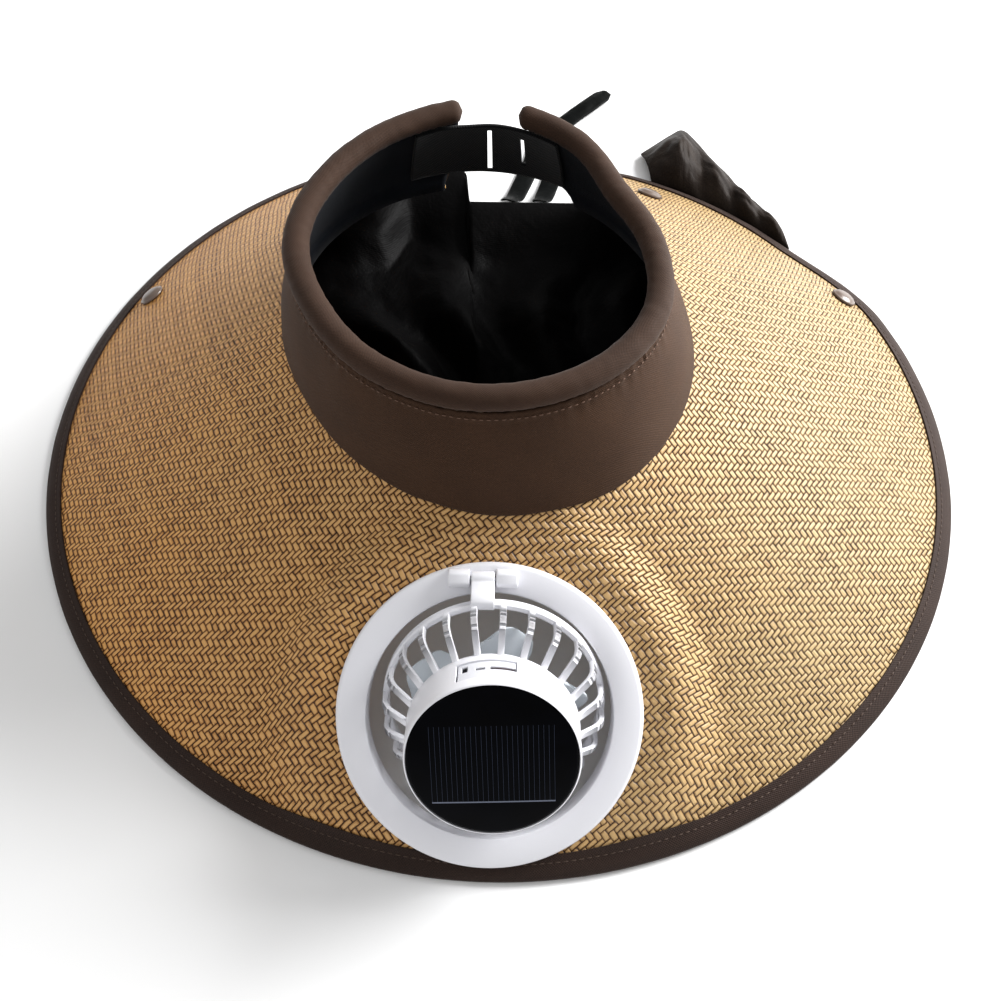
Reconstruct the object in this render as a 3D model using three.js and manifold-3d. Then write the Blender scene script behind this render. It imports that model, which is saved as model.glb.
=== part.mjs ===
// Wide straw sun visor with a padded headband, a tilting fan with a solar panel
// in the front of its brim, and a folded neck veil under the back of the brim.
// Millimetres, +Z up, the front of the hat faces -Y.
// Turns are degrees round the head: 0 is the front, positive to the hat's +X side.

import * as THREE from 'three';
import { mergeVertices } from 'three/addons/utils/BufferGeometryUtils.js';
import Module from 'manifold-3d';

const wasm = await Module();
wasm.setup();

// Brim
const strawEdgeRadius = 207.8;
const strawThickness = 1.6;
const strawEdgeHeight = 1.85;
const strawTuckIn = 4.5; // straw that runs in under the headband
const bandBaseHeight = 84.3; // where the headband meets the straw
const backGapStartLeft = -168; // the open back, where it leaves the headband
const backGapStartRight = 151.5;
const backGapEndLeft = -161.7; // and where it leaves the brim
const backGapEndRight = 161.4;
const flatPatchMargin = 8; // straw held flat beyond the fan's flange
const flatPatchBlend = 26;
const flatEdgeBlend = 10; // it comes down to the brim's own edge within this
const drawnIn = 9; // the edge at the back right, where the veil's corner pulls on it
const drawnInFrom = 113;
const drawnInTo = 132;
const drawnInEnd = 168;

// Binding round the brim's edge
const bindingWrap = 2.2;
const bindingReach = 6.5;
const bindingHalfThickness = 2.3;

// Headband
const headCentreX = -8.5;
const headCentreY = -4;
const headRadius = 90;
const seamRadius = 79.5;
const seamHeight = 130.6;
const bandThickness = 2.0;
const liningThickness = 1.2;
const rollHalfWidth = 5.2;
const rollHalfHeight = 4.4;
const rollInset = 2.4;
const rollEndLeft = -173;
const rollEndRight = 169.5;

// Closure strap across the open back of the headband
const strapThickness = 1.6;
const strapHeight = 32.5;
const strapBelowSeam = 0.6;
const strapTurnFrom = 155; // over the back, so past 180 it is on the -X side
const strapTurnTo = 203;
const strapSlitWidth = 1.0;
const strapSlitHeight = 28;
const strapSlitX = -6.5;
const strapHoleWidth = 2.0;
const strapHoleHeight = 17;
const strapHoleX = 9.4;

// Fan ring in the brim
const ringOuterRadius = 58.4;
const ringHoleRadius = 46.7;
const ringFlangeThickness = 2.6;
const ringSleeveWall = 2.4;
const ringSleeveDepth = 9;
const ringUpSlope = 62.2; // its centre, measured up the straw from the front edge
const ringShift = -2.0; // to the -X side of the brim's centre
const clampOuterRadius = 55;
const clampThickness = 2.5;

// Hinge at the top of the ring
const hingeShift = -3.3; // to the -X side of the ring's centre
const hingeUp = 52.4;
const hingeRise = 6.2;
const pinRadius = 1.0;
const barrelRadius = 2.7;
const armWidth = 8.8;
const lugWidth = 8.2;
const lugLength = 7;
const lugHeight = 8.8;
const fanTilt = 21; // swung in below the brim, as it is worn

// Fan basket, measured from the hinge pin and along the fan's own axis
const axisShift = 4.7; // the fan's axis lies to the +X side of its arm
const rimReach = 48.1;
const rimRise = 4.8;
const rimRadius = 42.4;
const rimWall = 2.6;
const rimDepth = 4.4;
const ribCount = 24;
const ribTurn = 0.72; // share of a rib's spacing that the first one is turned
const ribWidth = 2.4;
const ribThickness = 2.2;
const ribShoulder = 13.9;
const ribCorner = 4.5;
const housingRadius = 32.2;
const housingTopRadius = 31.8;
const housingBottom = 21.8;
const housingTop = 43.4;
const housingWall = 2.0;
const panelThickness = 1.7;
const panelRadius = 30.9;
const switchWidth = 21.5;
const switchLeft = -13;
const switchBottom = 27;
const switchStep = 33.4;
const switchTop = 38.6;

// Motor and blades
const motorRadius = 12.6;
const motorBottom = 18.6;
const shaftRadius = 1.0;
const hubRadius = 7;
const hubBottom = 4;
const hubTop = 14.2;
const bladeCount = 5;
const bladeRadius = 36.4;
const bladePitch = 26;
const bladeThickness = 1.2;
const bladeMiddle = 9;

// Snap buttons
const buttonRadius = 6.5;
const buttonHeight = 2.7;

// Veil and its ties
const veilThickness = 1.5;
const veilFoldHeight = 13;
const veilFolds = 6;
const snapEdgeRadius = 0.8855 * strawEdgeRadius;
const snapEdgeY = 0.717 * strawEdgeRadius;
const snapEdgeHeight = 17;
const veilSweep = 64; // degrees each side of the back
const veilFrontY = 0.144 * strawEdgeRadius;
const veilFrontHalfWidth = 0.5 * strawEdgeRadius;
const veilFrontBow = 0.106 * strawEdgeRadius;
const cornerReach = 0.24 * strawEdgeRadius;
const tieWidth = 10;
const tieArch = 0.8;

const gap = 0.3; // between pieces that touch
const sewnGap = 0.75; // between sewn pieces that follow a curve
const floorGap = 0.3;
const runningGap = 0.5;

// Radius of the headband at its base and at the seam under the roll,
// as shares of headRadius and seamRadius, every 30 degrees round the head.
const headShape = [
  { turn: -180, base: 1.017, seam: 1.018 },
  { turn: -150, base: 1.017, seam: 0.975 },
  { turn: -120, base: 0.983, seam: 0.934 },
  { turn: -90, base: 0.928, seam: 0.931 },
  { turn: -60, base: 0.893, seam: 0.917 },
  { turn: -30, base: 0.949, seam: 0.962 },
  { turn: 0, base: 1.046, seam: 1.009 },
  { turn: 30, base: 1.080, seam: 1.012 },
  { turn: 60, base: 1.029, seam: 0.974 },
  { turn: 90, base: 0.978, seam: 0.868 },
  { turn: 120, base: 0.967, seam: 0.803 },
  { turn: 150, base: 1.003, seam: 0.930 },
];
const headStep = 30;

// Where the headband's two ends stop, by share of its height.
const bandEnds = [
  { share: 0, left: -168, right: 151.5 },
  { share: 0.34, left: -171, right: 164.5 },
  { share: 1, left: -172, right: 166 },
];

// Snap buttons: turn about the brim's centre, and reach from it as a share of strawEdgeRadius.
const buttons = [
  { name: 'snap_button_left', turn: -114.5, reach: 0.924 },
  { name: 'snap_button_back_left', turn: -152.2, reach: 0.816 },
  { name: 'snap_button_back_right', turn: 152.2, reach: 0.773 },
  { name: 'snap_button_right', turn: 117.4, reach: 0.934 },
];

// The veil's corner, which comes out from under the brim's binding at the back right.
// Turn of each column from the back, and shares of cornerReach: how far back its cloth
// lies and leans to the +X side, and how high its fold and its free edge stand.
const cornerColumns = [
  { turn: 25.6, depth: 0.44, lean: -0.1, fold: 0.08, edge: 0.04 },
  { turn: 27.4, depth: 0.64, lean: -0.06, fold: 0.18, edge: 0.04 },
  { turn: 29.8, depth: 0.88, lean: -0.02, fold: 0.28, edge: 0.06 },
  { turn: 31.6, depth: 1, lean: 0, fold: 0.24, edge: 0.08 },
  { turn: 33.9, depth: 0.92, lean: 0, fold: 0.14, edge: 0.06 },
  { turn: 36.4, depth: 0.76, lean: 0, fold: 0.2, edge: 0.04 },
  { turn: 39.2, depth: 0.62, lean: 0, fold: 0.12, edge: 0.04 },
  { turn: 41.4, depth: 0.5, lean: 0, fold: 0.18, edge: 0.02 },
  { turn: 44.2, depth: 0.44, lean: 0, fold: 0.1, edge: 0.02 },
  { turn: 46.6, depth: 0.36, lean: 0, fold: 0.14, edge: 0.02 },
  { turn: 48.4, depth: 0.28, lean: 0, fold: 0.08, edge: 0.02 },
  { turn: 49.6, depth: 0.06, lean: 0, fold: 0.02, edge: 0 },
];

// The ties' centre lines, as shares of strawEdgeRadius, and how far off the floor
// they are as a share of snapEdgeHeight.
const tiePaths = {
  tie_left: [
    { x: 0.010, y: 0.722, lift: 0.95 },
    { x: 0.018, y: 0.765, lift: 0.55 },
    { x: 0.031, y: 0.820, lift: 0.08 },
    { x: 0.068, y: 0.940, lift: 0 },
    { x: 0.098, y: 1.040, lift: 0 },
    { x: 0.175, y: 1.135, lift: 0.05 },
    { x: 0.238, y: 1.200, lift: 0.1 },
    { x: 0.285, y: 1.258, lift: 0.02 },
  ],
  tie_right: [
    { x: 0.090, y: 0.722, lift: 0.95 },
    { x: 0.093, y: 0.765, lift: 0.5 },
    { x: 0.106, y: 0.820, lift: 0.08 },
    { x: 0.138, y: 0.940, lift: 0 },
    { x: 0.162, y: 1.030, lift: 0 },
    { x: 0.172, y: 1.062, lift: 0 },
  ],
};

const deg = Math.PI / 180;
const halfStraw = strawThickness / 2;
const lerp = THREE.MathUtils.lerp;
const smooth = THREE.MathUtils.smoothstep;

// Finishes
const colours = {
  straw: [0xc79a5c, 0.75, 0],
  binding: [0x43352f, 0.7, 0],
  band: [0x4d382b, 0.8, 0],
  lining: [0x10151f, 0.85, 0],
  strap: [0x0b0d12, 0.8, 0],
  plastic: [0xe9e9ee, 0.35, 0],
  steel: [0xb8babd, 0.3, 1],
  panel: [0x05060a, 0.12, 0],
  blade: [0xb4bcc2, 0.25, 0],
  button: [0x756a5e, 0.4, 0],
  satin: [0x2b2422, 0.35, 0],
};

function part(name, geometry, finish) {
  const [color, roughness, metalness] = colours[finish];
  const mesh = new THREE.Mesh(geometry, new THREE.MeshStandardMaterial({ color, roughness, metalness }));
  mesh.name = name;
  return mesh;
}

// Solids

function volumeOf(points, faces) {
  let volume = 0;
  for (let i = 0; i < faces.length; i += 3) {
    const [a, b, c] = [points[faces[i]], points[faces[i + 1]], points[faces[i + 2]]];
    volume += a.dot(b.clone().cross(c)) / 6;
  }
  return volume;
}

function closedGeometry(points, faces) {
  const outward = volumeOf(points, faces) > 0 ? faces : faces.slice().reverse();
  const geometry = new THREE.BufferGeometry().setFromPoints(points);
  geometry.setIndex(outward);
  return geometry;
}

// A wall between two grids of points, closed round its four edges.
function wall(columns, rows, outer, inner) {
  const points = [];
  for (const side of [outer, inner]) {
    for (let c = 0; c <= columns; c++) {
      for (let r = 0; r <= rows; r++) points.push(side(c, r));
    }
  }
  const at = (side, c, r) => (side * (columns + 1) + c) * (rows + 1) + r;
  const faces = [];
  const quad = (a, b, c, d) => faces.push(a, b, c, a, c, d);
  for (let c = 0; c < columns; c++) {
    for (let r = 0; r < rows; r++) {
      quad(at(0, c, r), at(0, c + 1, r), at(0, c + 1, r + 1), at(0, c, r + 1));
      quad(at(1, c, r), at(1, c, r + 1), at(1, c + 1, r + 1), at(1, c + 1, r));
    }
    quad(at(0, c, 0), at(1, c, 0), at(1, c + 1, 0), at(0, c + 1, 0));
    quad(at(0, c, rows), at(0, c + 1, rows), at(1, c + 1, rows), at(1, c, rows));
  }
  for (let r = 0; r < rows; r++) {
    quad(at(0, 0, r), at(0, 0, r + 1), at(1, 0, r + 1), at(1, 0, r));
    quad(at(0, columns, r), at(1, columns, r), at(1, columns, r + 1), at(0, columns, r + 1));
  }
  return closedGeometry(points, faces);
}

// One outline, which may change along the way, carried through a row of places.
function loft(count, outlineAt, place) {
  const points = [];
  const sides = outlineAt(0).length;
  for (let i = 0; i < count; i++) {
    for (const p of outlineAt(i)) points.push(place(i, p));
  }
  const faces = [];
  for (let i = 0; i + 1 < count; i++) {
    for (let k = 0; k < sides; k++) {
      const [a, b] = [i * sides + k, i * sides + ((k + 1) % sides)];
      faces.push(a, b, b + sides, a, b + sides, a + sides);
    }
  }
  const last = (count - 1) * sides;
  const firstOutline = outlineAt(0);
  const lastOutline = outlineAt(count - 1);
  const clockwise = THREE.ShapeUtils.isClockWise(firstOutline);
  for (const [a, b, c] of THREE.ShapeUtils.triangulateShape(firstOutline, [])) {
    faces.push(...(clockwise ? [a, b, c] : [b, a, c]));
  }
  for (const [a, b, c] of THREE.ShapeUtils.triangulateShape(lastOutline, [])) {
    faces.push(...(clockwise ? [last + b, last + a, last + c] : [last + a, last + b, last + c]));
  }
  return closedGeometry(points, faces);
}

function toSolid(geometry) {
  const bare = new THREE.BufferGeometry();
  bare.setAttribute('position', geometry.getAttribute('position'));
  if (geometry.index) bare.setIndex(geometry.index);
  const merged = mergeVertices(bare, 1e-4);
  const kept = [];
  const index = merged.index.array;
  for (let i = 0; i < index.length; i += 3) {
    const [a, b, c] = [index[i], index[i + 1], index[i + 2]];
    if (a !== b && b !== c && c !== a) kept.push(a, b, c);
  }
  const vertProperties = new Float32Array(merged.getAttribute('position').array);
  return new wasm.Manifold(new wasm.Mesh({ numProp: 3, vertProperties, triVerts: new Uint32Array(kept) }));
}

function toGeometry(solid) {
  const mesh = solid.getMesh();
  const geometry = new THREE.BufferGeometry();
  geometry.setAttribute('position', new THREE.BufferAttribute(new Float32Array(mesh.vertProperties), 3));
  geometry.setIndex([...mesh.triVerts]);
  return geometry;
}

function join(...geometries) {
  return geometries.map(toSolid).reduce((whole, next) => whole.add(next));
}

function block(width, depth, height, x, y, z) {
  return new THREE.BoxGeometry(width, depth, height).translate(x, y, z);
}

// A turned solid about the Z axis from (radius, height) pairs.
function turned(profile, sides) {
  const outline = profile.map(([r, z]) => new THREE.Vector2(r, z));
  if (profile[0][0] > 0) outline.push(outline[0].clone());
  return new THREE.LatheGeometry(outline, sides).rotateX(Math.PI / 2);
}

function rod(radius, from, to, sides) {
  const length = from.distanceTo(to);
  const geometry = new THREE.CylinderGeometry(radius, radius, length, sides).translate(0, length / 2, 0);
  const direction = to.clone().sub(from).normalize();
  geometry.applyQuaternion(new THREE.Quaternion().setFromUnitVectors(new THREE.Vector3(0, 1, 0), direction));
  return geometry.translate(from.x, from.y, from.z);
}

// Shape of the head and the brim

// A smooth value round the head from one column of headShape.
function roundHead(column, turn) {
  const place = (((turn + 180) % 360) + 360) % 360 / headStep;
  const first = Math.floor(place);
  const t = place - first;
  const row = (i) => headShape[(i + headShape.length) % headShape.length][column];
  const [a, b, c, d] = [row(first - 1), row(first), row(first + 1), row(first + 2)];
  return b + 0.5 * t * (c - a + t * (2 * a - 5 * b + 4 * c - d + t * (3 * (b - c) + d - a)));
}

const baseRadius = (turn) => headRadius * roundHead('base', turn);
const seamRadiusAt = (turn) => seamRadius * roundHead('seam', turn);

function headPoint(turn, radius, z) {
  return new THREE.Vector3(
    headCentreX + radius * Math.sin(turn * deg),
    headCentreY - radius * Math.cos(turn * deg),
    z,
  );
}

// How far the straw's edge is from the head's centre at a turn.
function edgeRadius(turn) {
  const along = headCentreX * Math.sin(turn * deg) - headCentreY * Math.cos(turn * deg);
  const offset = headCentreX ** 2 + headCentreY ** 2 - strawEdgeRadius ** 2;
  const drawn = smooth(turn, drawnInFrom, drawnInTo) * (1 - smooth(turn, drawnInEnd, 180));
  return Math.sqrt(along * along - offset) - along - drawnIn * drawn;
}

function coneHeight(x, y) {
  const [dx, dy] = [x - headCentreX, y - headCentreY];
  const turn = Math.atan2(dx, -dy) / deg;
  const edge = edgeRadius(turn);
  const share = (edge - Math.hypot(dx, dy)) / (edge - baseRadius(turn));
  return strawEdgeHeight + (bandBaseHeight - strawEdgeHeight) * share;
}

const frontProbeY = -strawEdgeRadius + ringUpSlope + ringOuterRadius / 2;
const frontRise = coneHeight(0, frontProbeY) - strawEdgeHeight;
const frontSlope = Math.atan2(frontRise, frontProbeY + strawEdgeRadius);
const ringCentre = new THREE.Vector3(
  ringShift,
  -strawEdgeRadius + ringUpSlope * Math.cos(frontSlope),
  strawEdgeHeight + ringUpSlope * Math.sin(frontSlope),
);

// Height of the middle of the straw. It is flat where the fan's ring clamps it.
function strawHeight(x, y) {
  const cone = coneHeight(x, y);
  const flat = strawEdgeHeight + (y + strawEdgeRadius) * Math.tan(frontSlope);
  const away = Math.hypot(x - ringCentre.x, (y - ringCentre.y) / Math.cos(frontSlope));
  const held = ringOuterRadius + flatPatchMargin;
  const fromEdge = strawEdgeRadius - Math.hypot(x, y);
  const flatness = (1 - smooth(away, held, held + flatPatchBlend)) * smooth(fromEdge, 0, flatEdgeBlend);
  return lerp(cone, flat, flatness);
}

function strawNormal(x, y) {
  const step = 0.5;
  const slopeX = (strawHeight(x + step, y) - strawHeight(x - step, y)) / (2 * step);
  const slopeY = (strawHeight(x, y + step) - strawHeight(x, y - step)) / (2 * step);
  return new THREE.Vector3(-slopeX, -slopeY, 1).normalize();
}

// Turn of a column of the brim. Only the last part of each side follows the open back.
const brimFixedTurn = 120;
const brimNominalTurn = 160;

function brimTurn(column, share) {
  const nominal = column * brimNominalTurn;
  if (Math.abs(nominal) <= brimFixedTurn) return nominal;
  const end = nominal < 0
    ? lerp(backGapStartLeft, backGapEndLeft, share)
    : lerp(backGapStartRight, backGapEndRight, share);
  const part = (Math.abs(nominal) - brimFixedTurn) / (brimNominalTurn - brimFixedTurn);
  return lerp(Math.sign(nominal) * brimFixedTurn, end, part);
}

const strawSlant = Math.hypot(strawEdgeRadius - headRadius, bandBaseHeight - strawEdgeHeight);
const cornerShare = (2 * bindingReach) / strawSlant;
const cornerColumn = (2 * bindingReach) / (strawEdgeRadius * brimNominalTurn * deg);

// The two corners at the open back are rounded: their square of the grid becomes a quarter disc.
function roundedCorner(column, share) {
  const a = (Math.abs(column) - (1 - cornerColumn)) / cornerColumn;
  const b = (share - (1 - cornerShare)) / cornerShare;
  if (a <= 0 || b <= 0) return [column, share];
  const across = 1 - cornerColumn + cornerColumn * a * Math.sqrt(1 - (b * b) / 2);
  return [Math.sign(column) * across, 1 - cornerShare + cornerShare * b * Math.sqrt(1 - (a * a) / 2)];
}

function brimPoint(gridColumn, gridShare) {
  const [column, share] = roundedCorner(gridColumn, gridShare);
  const turn = brimTurn(column, share);
  const inside = baseRadius(turn) - strawTuckIn;
  const p = headPoint(turn, lerp(inside, edgeRadius(turn), share), 0);
  return p.setZ(strawHeight(p.x, p.y));
}

// Columns are close together at the front, where the flat patch is.
function brimColumns() {
  const close = 4;
  const wide = 9;
  const closeTo = 36;
  const turns = [];
  const cornerStart = (1 - cornerColumn) * brimNominalTurn;
  for (let t = 0; t < cornerStart - wide / 3; t += t < closeTo ? close : wide) turns.push(t);
  const right = turns.map((t) => t / brimNominalTurn);
  right.push(1 - cornerColumn, 1 - cornerColumn / 2, 1);
  return [...right.slice(1).reverse().map((c) => -c), ...right];
}

function brimRows() {
  const plainRows = 5;
  const shares = [];
  for (let i = 0; i < plainRows; i++) shares.push((i / plainRows) * (1 - cornerShare / 2));
  shares.push(1 - cornerShare, 1 - cornerShare / 2, 1);
  return shares;
}

function makeBrim() {
  const columns = brimColumns();
  const rows = brimRows();
  const side = (offset) => (c, r) => {
    const p = brimPoint(columns[c], rows[r]);
    return p.addScaledVector(strawNormal(p.x, p.y), offset);
  };
  const plain = toSolid(wall(columns.length - 1, rows.length - 1, side(halfStraw), side(-halfStraw)));
  const bore = new THREE.CylinderGeometry(
    ringHoleRadius + ringSleeveWall + gap,
    ringHoleRadius + ringSleeveWall + gap,
    8 * strawThickness,
    56,
  );
  bore.rotateX(Math.PI / 2 + frontSlope).translate(ringCentre.x, ringCentre.y, ringCentre.z);
  return toGeometry(plain.subtract(toSolid(bore)));
}

// The binding runs down one side of the open back, round the brim and up the other side.
function bindingStations() {
  const firstShare = strawTuckIn / strawSlant + 0.05;
  const half = [];
  const rows = brimRows();
  half.push({ column: 1, share: firstShare, angle: 0 });
  for (const share of rows.slice(1, -2)) half.push({ column: 1, share, angle: 0 });
  const cornerAngle = (b) => Math.asin(b * Math.SQRT1_2);
  half.push({ column: 1, share: 1 - cornerShare / 2, angle: cornerAngle(0.5) });
  half.push({ column: 1, share: 1, angle: cornerAngle(1) });
  half.push({ column: 1 - cornerColumn / 2, share: 1, angle: Math.PI / 2 - cornerAngle(0.5) });
  half.push({ column: 1 - cornerColumn, share: 1, angle: Math.PI / 2 });
  const middle = brimColumns().slice(3, -3);
  return [
    ...half.map((s) => ({ ...s, column: -s.column, side: -1 })),
    ...middle.map((column) => ({ column, share: 1, angle: Math.PI / 2, side: 1 })),
    ...half.reverse().map((s) => ({ ...s, side: 1 })),
  ];
}

// The straw's edge at a station, with the same straw a binding's reach further in.
function bindingFrame({ column, share, angle, side }) {
  const small = 0.002;
  const [c, h] = roundedCorner(column, share);
  const surface = (across, along) => {
    const turn = brimTurn(across, along);
    const p = headPoint(turn, lerp(baseRadius(turn) - strawTuckIn, edgeRadius(turn), along), 0);
    return p.setZ(strawHeight(p.x, p.y));
  };
  const at = surface(c, h);
  const columnWay = surface(c + side * small, h).sub(at).normalize();
  const shareWay = at.clone().sub(surface(c, h - small)).normalize();
  const normal = strawNormal(at.x, at.y);
  const outward = columnWay.multiplyScalar(Math.cos(angle)).addScaledVector(shareWay, Math.sin(angle));
  outward.addScaledVector(normal, -outward.dot(normal)).normalize();
  const inAt = at.clone().addScaledVector(outward, -bindingReach);
  inAt.setZ(strawHeight(inAt.x, inAt.y));
  return { at, normal, outward, inAt, inNormal: strawNormal(inAt.x, inAt.y) };
}

function makeBinding() {
  const frames = bindingStations().map(bindingFrame);
  const inner = halfStraw + sewnGap;
  const edge = bindingHalfThickness - 0.1;
  const outline = (i) => {
    const { outward, normal } = frames[i];
    // The underside is level where the brim rests on it.
    const drop = Math.min(-outward.z / normal.z, 0.8);
    const under = Math.max(bindingHalfThickness - bindingWrap * Math.max(drop, 0), 0.4);
    return [
      [-bindingReach, inner],
      [-bindingReach, edge],
      [0, bindingHalfThickness],
      [bindingWrap, 0.9],
      [bindingWrap, -under],
      [0, -bindingHalfThickness],
      [-bindingReach, -edge],
      [-bindingReach, -inner],
      [gap, -inner],
      [gap, inner],
    ].map(([a, n]) => new THREE.Vector2(a, n));
  };
  const place = (i, p) => {
    const { at, normal, outward, inAt, inNormal } = frames[i];
    if (p.x > 0) return at.clone().addScaledVector(outward, p.x).addScaledVector(normal, p.y);
    const share = -p.x / bindingReach;
    const middle = normal.clone().lerp(inNormal, share).normalize();
    return at.clone().lerp(inAt, share).addScaledVector(middle, p.y);
  };
  const whole = toSolid(loft(frames.length, outline, place));
  const seat = new THREE.CylinderGeometry(ringOuterRadius + gap, ringOuterRadius + gap, 10, 64);
  seat.translate(0, 5 + halfStraw + gap / 2, 0);
  seat.rotateX(Math.PI / 2 + frontSlope).translate(ringCentre.x, ringCentre.y, ringCentre.z);
  return toGeometry(whole.subtract(toSolid(seat)));
}

// Headband, lining and roll

function bandEnd(side, share) {
  const next = bandEnds.findIndex((row) => row.share >= share);
  if (next <= 0) return bandEnds[0][side];
  const [a, b] = [bandEnds[next - 1], bandEnds[next]];
  return lerp(a[side], b[side], (share - a.share) / (b.share - a.share));
}

const bandFixedTurn = 132;
const bandNominalTurn = 168;

function bandTurn(nominal, share) {
  if (Math.abs(nominal) <= bandFixedTurn) return nominal;
  const end = bandEnd(nominal < 0 ? 'left' : 'right', share);
  const part = (Math.abs(nominal) - bandFixedTurn) / (bandNominalTurn - bandFixedTurn);
  return lerp(Math.sign(nominal) * bandFixedTurn, end, part);
}

// A point on the band's wall, a given distance in from its outer face.
function bandPoint(turn, share, inward, lift) {
  const bulge = 1.6 * Math.sin(Math.PI * share);
  const radius = lerp(baseRadius(turn), seamRadiusAt(turn), share) + bulge - inward;
  const foot = headPoint(turn, baseRadius(turn) - inward, 0);
  const footHeight = strawHeight(foot.x, foot.y) + (halfStraw + sewnGap) / Math.cos(frontSlope) + lift;
  return headPoint(turn, radius, lerp(footHeight, seamHeight, share));
}

function bandWall(from, to, lift, trim) {
  const stepTurn = 9.6;
  const rows = 3;
  const columns = Math.round((2 * bandNominalTurn) / stepTurn);
  const side = (inward) => (c, r) => {
    const share = r / rows;
    const nominal = lerp(-bandNominalTurn, bandNominalTurn, c / columns);
    const turn = bandTurn(nominal, share) * (1 - trim * smooth(Math.abs(nominal), bandFixedTurn, bandNominalTurn));
    return bandPoint(turn, share, inward, lift);
  };
  return wall(columns, rows, side(from), side(to));
}

function makeRoll() {
  const steps = 38;
  const sides = 10;
  const roundEnd = [0.55, 0.86];
  const turns = [];
  for (let i = 0; i <= steps; i++) turns.push(lerp(rollEndLeft, rollEndRight, i / steps));
  const endStep = 0.9;
  turns.splice(1, 0, rollEndLeft + endStep);
  turns.splice(-1, 0, rollEndRight - endStep);
  const swell = (i) => {
    const fromEnd = Math.min(i, turns.length - 1 - i);
    return fromEnd < roundEnd.length ? roundEnd[fromEnd] : 1;
  };
  const outline = () => {
    const points = [];
    for (let k = 0; k < sides; k++) {
      const a = ((k + 0.5) / sides) * 2 * Math.PI;
      points.push(new THREE.Vector2(rollHalfWidth * Math.cos(a), rollHalfHeight * Math.sin(a)));
    }
    return points;
  };
  const place = (i, p) => headPoint(
    turns[i],
    seamRadiusAt(turns[i]) - rollInset + p.x * swell(i),
    seamHeight + gap + rollHalfHeight + p.y * swell(i),
  );
  return loft(turns.length, outline, place);
}

function makeStrap() {
  const columns = 10;
  const rows = 2;
  const liningFace = bandThickness + gap + liningThickness + 2 * gap;
  const top = seamHeight - strapBelowSeam;
  const bottom = top - strapHeight;
  const heightShare = (z) => (z - bandBaseHeight) / (seamHeight - bandBaseHeight);
  const side = (inward) => (c, r) => {
    const z = lerp(bottom, top, r / rows);
    const turn = lerp(strapTurnFrom, strapTurnTo, c / columns);
    const p = bandPoint(turn, heightShare(z), inward, 0);
    return p.setZ(z);
  };
  const plain = toSolid(wall(columns, rows, side(liningFace), side(liningFace + strapThickness)));
  const middle = (bottom + top) / 2;
  const backY = headCentreY + headRadius;
  const slit = block(strapSlitWidth, headRadius, strapSlitHeight, strapSlitX, backY, middle - 1);
  const hole = block(strapHoleWidth, headRadius, strapHoleHeight, strapHoleX, backY, middle + 1);
  return toGeometry(plain.subtract(toSolid(slit)).subtract(toSolid(hole)));
}

// Fan ring, its clamp ring and the hinge. Local frame: X across, Y up the straw, Z out of it.

const flangeBottom = halfStraw + gap;
const flangeTop = flangeBottom + ringFlangeThickness;
const sleeveRadius = ringHoleRadius + ringSleeveWall;

function makeRing() {
  const soft = 0.7;
  const body = turned([
    [sleeveRadius, flangeBottom],
    [ringOuterRadius - soft / 2, flangeBottom],
    [ringOuterRadius, flangeBottom + soft],
    [ringOuterRadius - soft / 2, flangeTop - soft],
    [ringOuterRadius - 2 * soft, flangeTop],
    [ringHoleRadius + soft, flangeTop],
    [ringHoleRadius, flangeTop - soft],
    [ringHoleRadius, -ringSleeveDepth],
    [sleeveRadius, -ringSleeveDepth],
  ], 44);
  const lugs = [-1, 1].map((side) => {
    const x = hingeShift + side * (armWidth / 2 + runningGap + lugWidth / 2);
    const outline = new THREE.Shape();
    const [near, far] = [hingeUp - lugLength / 2, hingeUp + lugLength / 2];
    outline.moveTo(near, flangeBottom + soft);
    outline.lineTo(far, flangeBottom + soft);
    outline.lineTo(far, lugHeight - 2 * soft);
    outline.lineTo(far - 2 * soft, lugHeight);
    outline.lineTo(near + 2 * soft, lugHeight);
    outline.lineTo(near, lugHeight - 2 * soft);
    const lug = new THREE.ExtrudeGeometry(outline, { depth: lugWidth, bevelEnabled: false });
    lug.rotateY(Math.PI / 2).rotateX(Math.PI / 2);
    return lug.translate(x - lugWidth / 2, 0, 0);
  });
  const slotTop = hingeUp + barrelRadius + runningGap;
  const slotBottom = ringHoleRadius - 3;
  const slot = block(
    armWidth + 2 * runningGap,
    slotTop - slotBottom,
    lugHeight + 6,
    hingeShift,
    (slotTop + slotBottom) / 2,
    lugHeight / 2,
  );
  const bore = pinRod(pinRadius + gap, 2);
  const ring = join(body, ...lugs).subtract(toSolid(slot)).subtract(toSolid(bore));
  return toGeometry(ring);
}

function pinRod(radius, extra) {
  const half = armWidth / 2 + runningGap + lugWidth - 1 + extra;
  const from = new THREE.Vector3(hingeShift - half, hingeUp, hingeRise);
  const to = new THREE.Vector3(hingeShift + half, hingeUp, hingeRise);
  return rod(radius, from, to, 12);
}

function makeClamp() {
  return turned([
    [sleeveRadius + gap, -flangeBottom],
    [sleeveRadius + gap, -flangeBottom - clampThickness],
    [clampOuterRadius - 1, -flangeBottom - clampThickness],
    [clampOuterRadius, -flangeBottom - clampThickness + 1],
    [clampOuterRadius, -flangeBottom],
  ], 40);
}

// The fan. Local frame: the origin on the hinge pin, Z along the fan's axis.
// The solar panel faces +Z and the blades' air leaves towards -Z.

const rimInnerRadius = rimRadius - rimWall;
const panelSeat = housingTop - panelThickness - gap / 2;
const drumRoof = panelSeat - housingWall;
const motorTop = drumRoof - gap;

function onFanAxis(geometry) {
  return geometry.translate(axisShift, -rimReach, rimRise);
}

function housingSideRadius(z) {
  return lerp(housingRadius, housingTopRadius, (z - housingBottom) / (housingTop - housingBottom));
}

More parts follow.
